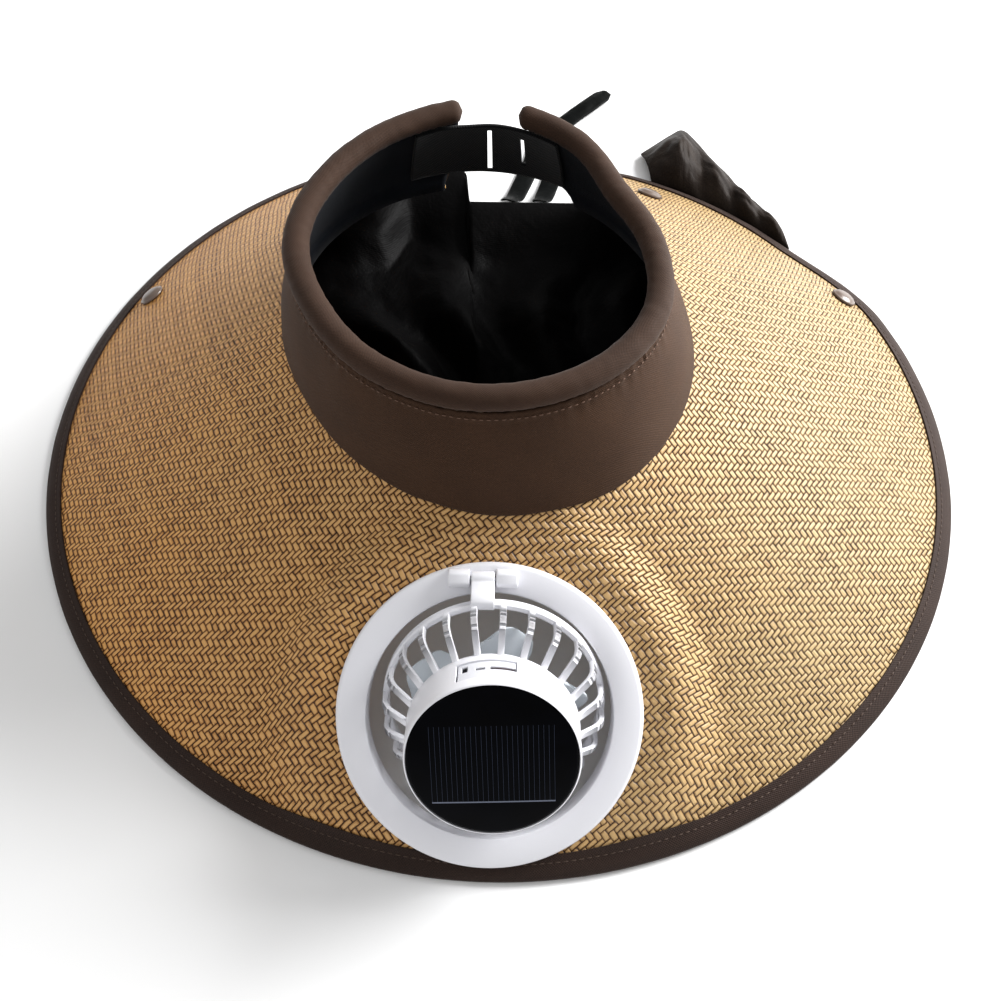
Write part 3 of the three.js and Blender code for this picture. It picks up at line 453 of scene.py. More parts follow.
headShape = [  # turn, base and seam as shares of their radii
    (-180, 1.017, 1.018),
    (-150, 1.017, 0.975),
    (-120, 0.983, 0.934),
    (-90, 0.928, 0.931),
    (-60, 0.893, 0.917),
    (-30, 0.949, 0.962),
    (0, 1.046, 1.009),
    (30, 1.080, 1.012),
    (60, 1.029, 0.974),
    (90, 0.978, 0.868),
    (120, 0.967, 0.803),
    (150, 1.003, 0.930),
]
headStep = 360 / len(headShape)

hat = {
    "headCentre": (-0.0085, -0.004),
    "headRadius": 0.090,
    "seamRadius": 0.0795,
    "seamHeight": 0.1306,
    "edgeRadius": 0.2078,
    "edgeHeight": 0.00185,
    "baseHeight": 0.0843,
    "tuckIn": 0.0045,
    "strawThickness": 0.0016,
    "gapStart": (-168.0, 151.5),
    "gapEnd": (-161.7, 161.4),
    "fixedTurn": 120,
    "nominalTurn": 160,
    "ringUpSlope": 0.0622,
    "ringShift": -0.002,
    "ringOuter": 0.0584,
    "flatMargin": 0.008,
    "flatBlend": 0.026,
    "edgeBlend": 0.010,
    "drawnIn": 0.009,
    "drawnTurns": (113, 132, 168, 180),
}


def lerp(a, b, t):
    return a + (b - a) * t


def smooth(x, low, high):
    t = min(max((x - low) / (high - low), 0), 1)
    return t * t * (3 - 2 * t)


def through(a, b, c, d, t):
    # A smooth curve from b to c that heeds the values before and after them.
    return b + 0.5 * t * (c - a + t * (2 * a - 5 * b + 4 * c - d + t * (3 * (b - c) + d - a)))


def roundHead(column, turn):
    place = (turn + 180) % 360 / headStep
    first = int(place)
    near = (headShape[(first + k) % len(headShape)][column] for k in (-1, 0, 1, 2))
    return through(*near, place - first)


def baseRadius(turn):
    return hat["headRadius"] * roundHead(1, turn)


def seamRadius(turn):
    return hat["seamRadius"] * roundHead(2, turn)


def headPoint(turn, radius, z):
    c, s = cosSin(turn)
    return Vector((hat["headCentre"][0] + radius * s, hat["headCentre"][1] - radius * c, z))


def edgeRadius(turn):
    c, s = cosSin(turn)
    cx, cy = hat["headCentre"]
    along = cx * s - cy * c
    start, full, end, none = hat["drawnTurns"]
    drawn = hat["drawnIn"] * smooth(turn, start, full) * (1 - smooth(turn, end, none))
    return math.sqrt(along * along - cx * cx - cy * cy + hat["edgeRadius"] ** 2) - along - drawn


def coneHeight(x, y):
    dx, dy = x - hat["headCentre"][0], y - hat["headCentre"][1]
    turn = math.degrees(math.atan2(dx, -dy))
    edge = edgeRadius(turn)
    share = (edge - math.hypot(dx, dy)) / (edge - baseRadius(turn))
    return hat["edgeHeight"] + (hat["baseHeight"] - hat["edgeHeight"]) * share


probeY = -hat["edgeRadius"] + hat["ringUpSlope"] + hat["ringOuter"] / 2
frontSlope = math.atan2(coneHeight(0, probeY) - hat["edgeHeight"], probeY + hat["edgeRadius"])
ringCentre = Vector(
    (
        hat["ringShift"],
        -hat["edgeRadius"] + hat["ringUpSlope"] * math.cos(frontSlope),
        hat["edgeHeight"] + hat["ringUpSlope"] * math.sin(frontSlope),
    )
)


def strawHeight(x, y):
    cone = coneHeight(x, y)
    level = hat["edgeHeight"] + (y + hat["edgeRadius"]) * math.tan(frontSlope)
    away = math.hypot(x - ringCentre.x, (y - ringCentre.y) / math.cos(frontSlope))
    held = hat["ringOuter"] + hat["flatMargin"]
    share = 1 - smooth(away, held, held + hat["flatBlend"])
    share *= smooth(hat["edgeRadius"] - math.hypot(x, y), 0, hat["edgeBlend"])
    return lerp(cone, level, share)


def strawNormal(x, y):
    step = 0.0005
    slopeX = (strawHeight(x + step, y) - strawHeight(x - step, y)) / (2 * step)
    slopeY = (strawHeight(x, y + step) - strawHeight(x, y - step)) / (2 * step)
    return Vector((-slopeX, -slopeY, 1)).normalized()


def spread(nominal, fixed, widest, ends):
    # Past the fixed turn, the columns are spread out to the two sides of the open back.
    if abs(nominal) <= fixed:
        return nominal
    part = (abs(nominal) - fixed) / (widest - fixed)
    return lerp(math.copysign(fixed, nominal), ends[nominal > 0], part)


def brimTurn(column, share):
    ends = [lerp(a, b, share) for a, b in zip(hat["gapStart"], hat["gapEnd"])]
    return spread(column * hat["nominalTurn"], hat["fixedTurn"], hat["nominalTurn"], ends)


slant = math.hypot(hat["edgeRadius"] - hat["headRadius"], hat["baseHeight"] - hat["edgeHeight"])
tape = {
    "reach": 0.0076,
    "wrap": 0.0022,
    "corner": 0.013,
    "half": 0.0021,
    "stitchInset": 0.0047,
    "stitchPitch": 0.0031,
    "stitchOff": 0.00158,
    "ripple": 0.00012,
    "steps": (26, 10, 380),  # up a side, round a corner, round the brim
    "start": 0.05,  # share of the slant that the band hides
}
cornerShare = tape["corner"] / slant
cornerColumn = tape["corner"] / (hat["edgeRadius"] * math.radians(hat["nominalTurn"]))


def roundedCorner(column, share):
    a = (abs(column) - (1 - cornerColumn)) / cornerColumn
    b = (share - (1 - cornerShare)) / cornerShare
    if a <= 0 or b <= 0:
        return column, share
    across = 1 - cornerColumn + cornerColumn * a * math.sqrt(1 - b * b / 2)
    down = 1 - cornerShare + cornerShare * b * math.sqrt(1 - a * a / 2)
    return math.copysign(across, column), down


def surfacePoint(column, share):
    turn = brimTurn(column, share)
    radius = lerp(baseRadius(turn) - hat["tuckIn"], edgeRadius(turn), share)
    p = headPoint(turn, radius, 0)
    p.z = strawHeight(p.x, p.y)
    return p


def brimPoint(column, share):
    return surfacePoint(*roundedCorner(column, share))


# Mesh helpers


def toObject(bm, name, finish, body, node=None, sharpAngle=40):
    mesh = bpy.data.meshes.new(name)
    bm.to_mesh(mesh)
    bm.free()
    for polygon in mesh.polygons:
        polygon.use_smooth = True
    mesh.set_sharp_from_angle(angle=math.radians(sharpAngle))
    mesh.materials.append(finishes[finish])
    made = toScene(name, mesh)
    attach(made, body)
    if node:
        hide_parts(node)
    return made


def sheetMesh(across, along, place, uvAt, weld=False, capEnds=False):
    # A grid whose points are moved to place(u, v). A welded one closes round u, as a tube does.
    bm = bmesh.new()
    bmesh.ops.create_grid(bm, x_segments=across, y_segments=along, size=1)
    uvLayer = bm.loops.layers.uv.new("UVMap")
    share = {v: (v.co.x * 0.5 + 0.5, v.co.y * 0.5 + 0.5) for v in bm.verts}
    for face in bm.faces:
        for loop in face.loops:
            loop[uvLayer].uv = uvAt(*share[loop.vert])
    for v, (a, b) in share.items():
        v.co = place(a, b) + hatShift
    if weld:
        bmesh.ops.remove_doubles(bm, verts=bm.verts, dist=1e-6)
    if capEnds:
        bmesh.ops.holes_fill(bm, edges=[e for e in bm.edges if e.is_boundary])
    bmesh.ops.recalc_face_normals(bm, faces=bm.faces)
    return bm


def thicken(made, thickness, offset=0.0, even=True):
    wall = made.modifiers.new("wall", "SOLIDIFY")
    wall.thickness = thickness
    wall.offset = offset
    wall.use_even_offset = even
    return made


def faceUp(bm):
    # A sheet's normals are turned so that most of them point up.
    if sum(f.normal.z * f.calc_area() for f in bm.faces) < 0:
        bmesh.ops.reverse_faces(bm, faces=bm.faces)


def cutAway(bm, inside):
    faces = [face for face in bm.faces if inside(face.calc_center_median())]
    bmesh.ops.delete(bm, geom=faces, context="FACES")


def lathe(profile, steps, closed=True):
    # A closed profile makes a ring; an open one starts and ends on the axis.
    bm = bmesh.new()
    verts = [bm.verts.new((r, 0, z)) for r, z in (profile + profile[:1] if closed else profile)]
    edges = [bm.edges.new(pair) for pair in zip(verts, verts[1:])]
    bmesh.ops.spin(
        bm,
        geom=verts + edges,
        cent=(0, 0, 0),
        axis=(0, 0, 1),
        angle=math.tau,
        steps=steps,
        use_merge=True,
    )
    bmesh.ops.remove_doubles(bm, verts=bm.verts, dist=1e-7)
    bmesh.ops.recalc_face_normals(bm, faces=bm.faces)
    return bm


def soften(bm, width, segments, angle, clamp):
    limit = math.radians(angle)
    sharp = [e for e in bm.edges if len(e.link_faces) == 2 and e.calc_face_angle(0) > limit]
    bmesh.ops.bevel(
        bm,
        geom=sharp,
        offset=width,
        segments=segments,
        affect="EDGES",
        profile=0.5,
        material=-1,
        clamp_overlap=clamp,
    )


def prism(outline, depth, bevel):
    # An outline in Y and Z, pushed out along X and centred there.
    bm = bmesh.new()
    face = bm.faces.new([bm.verts.new((-depth / 2, y, z)) for y, z in outline])
    pushed = bmesh.ops.extrude_face_region(bm, geom=[face])
    far = [g for g in pushed["geom"] if isinstance(g, bmesh.types.BMVert)]
    bmesh.ops.translate(bm, vec=(depth, 0, 0), verts=far)
    bmesh.ops.recalc_face_normals(bm, faces=bm.faces)
    soften(bm, bevel, 3, 30, True)
    return bm


def gather(target, other):
    mesh = bpy.data.meshes.new("gathered")
    other.to_mesh(mesh)
    other.free()
    target.from_mesh(mesh)
    bpy.data.meshes.remove(mesh)


def moved(bm, matrix):
    bmesh.ops.transform(bm, matrix=matrix, verts=bm.verts)
    return bm


def stitchRow(name, rows, length, radius, finish):
    # One small capsule for each (place, direction, normal).
    bm = bmesh.new()
    size = Matrix.Diagonal((length / 2, radius, radius * 0.8, 1))
    for place, way, normal in rows:
        side = normal.cross(way).normalized()
        turn = Matrix((way.normalized(), side, normal)).transposed().to_4x4()
        at = Matrix.Translation(place + hatShift) @ turn @ size
        bmesh.ops.create_icosphere(bm, subdivisions=1, radius=1, matrix=at)
    return toObject(bm, name, finish, "hat", sharpAngle=180)


# Straw brim

brim = {"columns": 400, "rows": 56, "holeRadius": 0.0502, "flatTurn": 0.8}


def brimUv(u, v):
    # The cone laid flat, in metres, so the weave runs straight across the whole sheet.
    turn = math.radians(brimTurn(2 * u - 1, v)) * brim["flatTurn"]
    reach = hat["edgeRadius"] / brim["flatTurn"] - (1 - v) * slant
    return (reach * math.sin(turn), -reach * math.cos(turn))


def makeBrim():
    bm = sheetMesh(brim["columns"], brim["rows"], lambda u, v: brimPoint(2 * u - 1, v), brimUv)
    faceUp(bm)
    normal = Vector((0, -math.sin(frontSlope), math.cos(frontSlope)))

    def inHole(centre):
        off = centre - ringCentre - hatShift
        return (off - normal * off.dot(normal)).length < brim["holeRadius"]

    cutAway(bm, inHole)
    made = toObject(bm, "straw_brim", "straw", "hat", "brim")
    thicken(made, hat["strawThickness"])


makeBrim()
print("straw brim is woven")

# Binding tape and its stitches


def tapeStations():
    # Down one side of the open back, round the brim and up the other side.
    sideSteps, cornerSteps, rimSteps = tape["steps"]
    first = hat["tuckIn"] / slant + tape["start"]
    limit = 1 - cornerColumn
    square = math.pi / 2
    half = [(1.0, lerp(first, 1 - cornerShare, k / sideSteps), 0.0) for k in range(sideSteps)]
    for k in range(cornerSteps + 1):
        b = k / cornerSteps
        half.append((1.0, 1 - cornerShare + cornerShare * b, math.asin(b * math.sqrt(0.5))))
    for k in range(1, cornerSteps):
        a = 1 - k / cornerSteps
        half.append((limit + cornerColumn * a, 1.0, square - math.asin(a * math.sqrt(0.5))))
    half.append((limit, 1.0, square))
    rows = [(-c, s, a, -1) for c, s, a in half]
    rows += [(lerp(-limit, limit, k / rimSteps), 1.0, square, 1) for k in range(1, rimSteps)]
    return rows + [(c, s, a, 1) for c, s, a in reversed(half)]


def tapeFrame(column, share, angle, side):
    c, h = roundedCorner(column, share)
    small = 0.002
    at = surfacePoint(c, h)
    columnWay = (surfacePoint(c + side * small, h) - at).normalized()
    shareWay = (at - surfacePoint(c, h - small)).normalized()
    normal = strawNormal(at.x, at.y)
    outward = columnWay * math.cos(angle) + shareWay * math.sin(angle)
    outward = (outward - normal * outward.dot(normal)).normalized()
    return at, normal, outward


def makeTape():
    frames = [tapeFrame(*row) for row in tapeStations()]
    lengths = [0.0]
    for before, after in zip(frames, frames[1:]):
        lengths.append(lengths[-1] + (after[0] - before[0]).length)
    reach, half, wrap, inset = (tape[key] for key in ("reach", "half", "wrap", "stitchInset"))
    profile = [  # along the straw, off the straw
        (-reach, 0.0009), (-reach - 0.0001, 0.0016), (-reach + 0.0005, 0.0018),
        (-inset, 0.0015), (-inset + 0.0009, 0.0018), (-0.0015, half),
        (wrap * 0.55, half * 0.9), (wrap * 0.95, half * 0.45), (wrap, 0.0),
        (wrap * 0.95, -half * 0.45), (wrap * 0.55, -half * 0.9), (-0.0015, -half),
        (-inset, -0.0016), (-reach, -0.0017), (-reach, -0.0009),
    ]
    rounds = len(profile)
    last = len(frames) - 1

    def surface(station, across, off):
        at, normal, outward = frames[station]
        p = at + outward * across
        if across < 0:
            p.z = strawHeight(p.x, p.y)
        ripple = tape["ripple"] * noise.noise(Vector((lengths[station] * 90, across * 300, 3)))
        p = p + normal * (off + (ripple if off > 0 else 0))
        p.z = max(p.z, 0.0001)
        return p

    def place(u, v):
        return surface(round(v * last), *profile[round(u * rounds) % rounds])

    around = [0.0]
    for a, b in zip(profile, profile[1:] + profile[:1]):
        around.append(around[-1] + math.hypot(b[0] - a[0], b[1] - a[1]))

    def uvAt(u, v):
        return (around[round(u * rounds)], lengths[round(v * last)])

    bm = sheetMesh(rounds, last, place, uvAt, weld=True, capEnds=True)
    toObject(bm, "binding_tape", "tape", "hat", "brim_binding", sharpAngle=60)
    stitches = []
    wanted = 0.0
    for k in range(3, len(frames) - 3):
        while wanted <= lengths[k]:
            t = (wanted - lengths[k - 1]) / max(lengths[k] - lengths[k - 1], 1e-9)
            before, after = (surface(n, -inset, tape["stitchOff"]) for n in (k - 1, k))
            stitches.append((before.lerp(after, t), after - before, frames[k][1]))
            wanted += tape["stitchPitch"]
    stitchRow("binding_stitches", stitches, 0.0025, 0.00032, "thread")


makeTape()
print("binding is sewn on")

# Headband, lining, roll and strap

band = {
    "fixedTurn": 132,
    "nominalTurn": 168,
    "ends": [(0.0, -168, 151.5), (0.34, -171, 164.5), (1.0, -172, 166)],
    "bulge": 0.0016,
    "thickness": 0.0016,
    "footGap": 0.00155,
    "height": 0.045,
    "welt": 0.0006,  # the sewn edge under the roll
    "pucker": 0.00035,
    "sway": 0.0011,
    "stitchPitch": 0.0026,
    "stitchShare": 0.95,
    "stitchOff": 0.0011,
}
lining = {"inset": 0.003, "wave": 0.0006, "turnedIn": 0.0026, "drop": 0.0042, "thickness": 0.0007}


def bandTurn(nominal, share):
    rows = band["ends"]
    k = 0 if share <= rows[1][0] else 1
    part = (share - rows[k][0]) / (rows[k + 1][0] - rows[k][0])
    ends = [lerp(a, b, part) for a, b in zip(rows[k][1:], rows[k + 1][1:])]
    return spread(nominal, band["fixedTurn"], band["nominalTurn"], ends)


def bandPoint(turn, share, inward):
    bulge = band["bulge"] * math.sin(math.pi * share)
    radius = lerp(baseRadius(turn), seamRadius(turn), share) + bulge - inward
    foot = headPoint(turn, baseRadius(turn) - inward, 0)
    footHeight = strawHeight(foot.x, foot.y) + band["footGap"] / math.cos(frontSlope)
    return headPoint(turn, radius, lerp(footHeight, hat["seamHeight"], share))


def stripMesh(across, along, halfLength, place):
    # A strip that runs round the head from one side of the open back to the other.
    def at(u, v):
        return place(bandTurn(lerp(-band["nominalTurn"], band["nominalTurn"], u), v), v)

    return sheetMesh(across, along, at, lambda u, v: ((2 * u - 1) * halfLength, v * band["height"]))


def makeBand():
    def place(turn, v):
        welt = band["welt"] * smooth(v, 0.915, 0.935)
        gathers = math.sin(turn * 1.9 + 2 * math.sin(turn * 0.37))
        pucker = band["pucker"] * smooth(v, 0.75, 0.95) * gathers
        sway = noise.noise(Vector((turn * 0.045, v * 1.3, 5))) * math.sin(math.pi * v)
        return bandPoint(turn, v, -welt - pucker - band["sway"] * sway)

    bm = stripMesh(300, 44, 0.25, place)
    made = toObject(bm, "headband_cotton", "band", "hat", "headband")
    thicken(made, band["thickness"], -1)
    rows = []
    share, off = band["stitchShare"], band["stitchOff"]
    turnStep = band["stitchPitch"] / (hat["seamRadius"] * math.radians(1))
    turn = -band["nominalTurn"]
    while turn < band["nominalTurn"] - turnStep:
        a, b = (bandPoint(bandTurn(t, share), share, -off) for t in (turn, turn + turnStep * 0.7))
        outward = headPoint(turn, 1, 0) - headPoint(turn, 0, 0)
        rows.append(((a + b) / 2, b - a, outward.normalized()))
        turn += turnStep
    stitchRow("headband_stitches", rows, 0.0018, 0.00028, "rollThread")


def makeLining():
    def place(turn, v):
        turn *= 0.997
        wave = lining["wave"] * noise.noise(Vector((turn * 0.06, v * 2.0, 9)))
        foot = 1 - smooth(v, 0, 0.1)  # its lower edge is turned in over the straw's
        p = bandPoint(turn, v, lining["inset"] + wave + lining["turnedIn"] * foot)
        p.z -= lining["drop"] * foot
        return p

    bm = stripMesh(260, 16, 0.24, place)
    made = toObject(bm, "lining_cloth", "lining", "hat", "band_lining")
    thicken(made, lining["thickness"])


roll = {
    "halfWidth": 0.0053,
    "halfHeight": 0.0046,
    "inset": 0.0024,
    "gap": 0.0003,
    "ends": (-173, 169.5),
    "endRadius": 0.0042,
    "crease": 0.00022,
    "pull": 0.0002,
    "length": 0.46,
    "girth": 0.037,
}


def makeRoll():
    low, high = roll["ends"]

    def place(u, v):
        turn = lerp(low, high, v)
        c, s = cosSin(u * 360)
        fromEnd = min(v, 1 - v) * (high - low) * math.radians(1) * hat["seamRadius"]
        cap = min(fromEnd / roll["endRadius"], 1)
        swell = math.sqrt(max(1 - (1 - cap) ** 2, 0.0)) * 0.97 + 0.03
        crease = roll["crease"] * noise.noise(Vector((turn * 0.35, c * 1.2, s * 1.2)))
        wander = 3 * noise.noise(Vector((turn * 0.2, 0, 1)))
        pull = roll["pull"] * math.sin(turn * 2.3 + wander) * max(-s, 0)
        size = swell * (1 + (crease + pull) / roll["halfWidth"])
        return headPoint(
            turn,
            seamRadius(turn) - roll["inset"] + roll["halfWidth"] * c * size,
            hat["seamHeight"] + roll["gap"] + roll["halfHeight"] * (1 + s * size),
        )

    def uvAt(u, v):
        return (v * roll["length"], u * roll["girth"])

    bm = sheetMesh(28, 340, place, uvAt, weld=True, capEnds=True)
    made = toObject(bm, "roll_padding", "roll", "hat", "headband_roll", sharpAngle=80)


strap = {
    "turns": (155, 203),
    "low": 0.0976,
    "high": 0.1300,
    "inset": 0.0041,
    "thickness": 0.0014,
    "dip": 0.0011,  # its upper edge sags a little
    "openings": [(-0.0065, 0.0019, 0.028, -0.001), (0.0096, 0.0021, 0.018, 0.001)],
}  # each opening's place across, width, height and lift


def makeStrap():
    def place(u, v):
        z = lerp(strap["low"], strap["high"], v)
        z -= strap["dip"] * v**3 * math.exp(-(((u - 0.62) / 0.12) ** 2))
        share = (z - hat["baseHeight"]) / (hat["seamHeight"] - hat["baseHeight"])
        p = bandPoint(lerp(*strap["turns"], u), share, strap["inset"] + strap["thickness"] / 2)
        p.z = z
        return p

    def uvAt(u, v):
        return (u * 0.066, v * 0.032)

    middle = (strap["low"] + strap["high"]) / 2
    backRadius = baseRadius(180) - strap["inset"]
    cx, cy = hat["headCentre"]

    def inOpening(centre):
        c = centre - hatShift
        turn = math.atan2(c.x - cx, c.y - cy)
        for x, width, height, lift in strap["openings"]:
            aside = abs(turn - (x - cx) / backRadius) * backRadius
            if aside < width / 2 and abs(c.z - middle - lift) < height / 2:
                return True
        return False

    bm = sheetMesh(132, 32, place, uvAt)
    cutAway(bm, inOpening)
    made = toObject(bm, "strap_webbing", "strap", "hat", "closure_strap")
    thicken(made, strap["thickness"])


makeBand()
makeLining()
makeRoll()
makeStrap()
print("headband is lined and padded")

# Snap buttons

snap = {
    "radius": 0.0065,
    "height": 0.0027,
    "seat": 0.0003,
    "places": {  # turn round the brim's centre, distance from it
        "snap_button_left": (-114.5, 0.192),
        "snap_button_back_left": (-152.2, 0.1695),
        "snap_button_back_right": (152.2, 0.1606),
        "snap_button_right": (117.4, 0.194),
    },
    "profile": [  # shares of the radius and of the height
        (0, 0), (0.94, 0), (1, 0.1), (1, 0.3), (0.97, 0.42), (0.9, 0.47), (0.85, 0.53),
        (0.74, 0.76), (0.56, 0.92), (0.3, 0.99), (0, 1),
    ],
}


def makeSnap(node, turn, radius):
    profile = [(snap["radius"] * r, snap["height"] * h) for r, h in snap["profile"]]
    c, s = cosSin(turn)
    x, y = radius * s, -radius * c
    normal = strawNormal(x, y)
    foot = Vector((x, y, strawHeight(x, y))) + normal * (hat["strawThickness"] / 2 + snap["seat"])
    turnTo = Vector((0, 0, 1)).rotation_difference(normal).to_matrix().to_4x4()
    bm = moved(lathe(profile, 40, closed=False), Matrix.Translation(foot + hatShift) @ turnTo)
    toObject(bm, node.replace("button", "dome"), "button", "hat", node)


for node, (turn, radius) in snap["places"].items():
    makeSnap(node, turn, radius)
print("snap buttons are on")

# Fan ring, clamp ring, hinge. Local frame: X across, Y up the straw, Z out of it.

ring = {
    "outer": 0.0584,
    "hole": 0.0467,
    "sleeveWall": 0.0024,
    "sleeveDepth": 0.009,
    "bottom": 0.0011,
    "top": 0.0037,
    "clampOuter": 0.055,
    "clampThickness": 0.0025,
    "fit": 0.0003,
}
hinge = {
    "place": (-0.0033, 0.0524, 0.0062),
    "pin": 0.001,
    "barrel": 0.0027,
    "arm": 0.0088,
    "lug": 0.0082,
    "lugLength": 0.007,
    "lugHeight": 0.0088,
    "play": 0.0005,
    "tilt": 21,
}
mountPlace = Matrix.Translation(ringCentre + hatShift) @ Matrix.Rotation(frontSlope, 4, "X")
pinPlace = Matrix.Translation(hinge["place"])
fanPlace = mountPlace @ pinPlace @ Matrix.Rotation(math.radians(hinge["tilt"]), 4, "X")


def makeRing():
    outer, hole, low, top = (ring[key] for key in ("outer", "hole", "bottom", "top"))
    sleeve, deep = hole + ring["sleeveWall"], -ring["sleeveDepth"]
    profile = [
        (sleeve, low), (outer - 0.0003, low), (outer, low + 0.0006),
        (outer - 0.0002, top - 0.0009), (outer - 0.0010, top - 0.0002),
        (outer - 0.0018, top), (hole + 0.0010, top), (hole + 0.0003, top - 0.0003),
        (hole, top - 0.0010), (hole, deep), (sleeve, deep),
    ]
    bm = lathe(profile, 128)
    x, y, _ = hinge["place"]
    near, far = y - hinge["lugLength"] / 2, y + hinge["lugLength"] / 2
    foot, head, slope = top - 0.0008, hinge["lugHeight"], 0.0016
    shoulder = head - 0.0018
    outline = [(near, foot), (far, foot), (far, shoulder)]
    outline += [(far - slope, head), (near + slope, head), (near, shoulder)]
    for side in (-1, 1):
        aside = x + side * (hinge["arm"] / 2 + hinge["play"] + hinge["lug"] / 2)
        gather(bm, moved(prism(outline, hinge["lug"], 0.0007), Matrix.Translation((aside, 0, 0))))
    toObject(moved(bm, mountPlace), "fan_ring_moulding", "plastic", "hat", "fan_ring")


def makeClamp():
    inner, outer = ring["hole"] + ring["sleeveWall"] + ring["fit"], ring["clampOuter"]
    top, low = -ring["bottom"], -ring["bottom"] - ring["clampThickness"]
    rounded = [(outer - 0.001, low), (outer - 0.0003, low + 0.0003), (outer, low + 0.001)]
    bm = lathe([(inner, top), (inner, low), *rounded, (outer, top)], 112)
    toObject(moved(bm, mountPlace), "clamp_ring_moulding", "plastic", "hat", "fan_clamp_ring")


def makePin():
    bm = bmesh.new()
    bmesh.ops.create_cone(
        bm,
        cap_ends=True,
        segments=24,
        radius1=hinge["pin"],
        radius2=hinge["pin"],
        depth=2 * (hinge["arm"] / 2 + hinge["play"] + hinge["lug"] - 0.001),
        matrix=pinPlace @ Matrix.Rotation(math.pi / 2, 4, "Y"),
    )
    toObject(moved(bm, mountPlace), "hinge_rod", "pin", "hat", "hinge_pin")


makeRing()
makeClamp()
makePin()
print("fan ring is clamped in the straw")

# The fan. Local frame: origin on the hinge pin, Z along the fan's own axis.

fan = {
    "reach": 0.0481,
    "axisShift": 0.0047,
    "rise": 0.0048,
    "rim": 0.0424,
    "rimWall": 0.0026,
    "rimDepth": 0.0044,
    "ribs": 24,
    "ribTurn": 0.72,
    "ribWidth": 0.0024,
    "ribThickness": 0.0022,
    "shoulder": 0.0139,
    "corner": 0.0045,
    "housing": 0.0322,
    "housingTop": 0.0318,
    "low": 0.0218,
    "high": 0.0434,
    "wall": 0.002,
    "panel": 0.0309,
    "panelThickness": 0.0017,
    "motor": 0.0126,
    "fit": 0.0003,
    "window": (-0.013, 0.0085, 0.027, 0.0386),
    "step": 0.0334,
}
axisPlace = fanPlace @ Matrix.Translation((fan["axisShift"], -fan["reach"], fan["rise"]))


def ribShape():
    # A small square face carried along the rib's path, out from the rim and in to the housing.
    half, thick = fan["ribWidth"] / 2, fan["ribThickness"] / 2
    outer = fan["rim"] - thick - 0.0002
    shoulder = Vector((outer, fan["shoulder"]))
    end = Vector((fan["housing"] - 0.0014, fan["low"] + 0.0022))
    cornerIn = shoulder + (end - shoulder).normalized() * fan["corner"]
    cornerOut = shoulder - Vector((0, fan["corner"]))
    path = [Vector((outer, fan["rimDepth"] * 0.5)), cornerOut]
    for k in range(1, 8):
        t = k / 8
        path.append(cornerOut * (1 - t) ** 2 + shoulder * 2 * t * (1 - t) + cornerIn * t * t)
    path += [cornerIn, end]

    def corners(k):
        way = (path[min(k + 1, len(path) - 1)] - path[max(k - 1, 0)]).normalized()
        side = Vector((way.y, -way.x)) * thick
        out, inner = path[k] + side, path[k] - side
        places = ((out, -half), (out, half), (inner, half), (inner, -half))
        return [(p.x, y, p.y) for p, y in places]

    bm = bmesh.new()
    face = bm.faces.new([bm.verts.new(c) for c in corners(0)])
    for k in range(1, len(path)):
        pushed = bmesh.ops.extrude_face_region(bm, geom=[face])
        face = next(g for g in pushed["geom"] if isinstance(g, bmesh.types.BMFace))
        for v, c in zip(face.verts, corners(k)):
            v.co = c
    bmesh.ops.recalc_face_normals(bm, faces=bm.faces)
    soften(bm, 0.0004, 2, 60, False)
    return bm


def drumShape():
    # The housing, with its window bridged from the outer wall to the inner one.
    body, cap, low, high = (fan[key] for key in ("housing", "housingTop", "low", "high"))
    left, right, windowLow, windowHigh = fan["window"]
    wall, bore, lip = fan["wall"], fan["motor"] + fan["fit"], fan["panel"] + fan["fit"]
    seat = high - fan["panelThickness"] - fan["fit"] / 2
    profile = [
        (bore, low), (body - 0.0018, low), (body - 0.0006, low + 0.0004),
        (body, low + 0.0018), (body - 0.0002, windowLow), (cap + 0.0002, windowHigh),
        (cap + 0.0001, high - 0.0009), (cap - 0.0001, high - 0.0003), (cap - 0.0005, high),
        (lip, high), (lip, seat), (0.0, seat), (0.0, seat - wall),
        (cap - wall, seat - wall), (cap - wall, windowHigh), (body - wall, windowLow),
        (body - wall, low + wall), (bore, low + wall),
    ]

    def inWindow(c):
        outside = c.y > 0 and c.xy.length > 0.025
        return outside and left < c.x < right and windowLow < c.z < windowHigh

    drum = lathe(profile, 144)
    cutAway(drum, inWindow)
    bmesh.ops.bridge_loops(drum, edges=[e for e in drum.edges if e.is_boundary])
    return drum


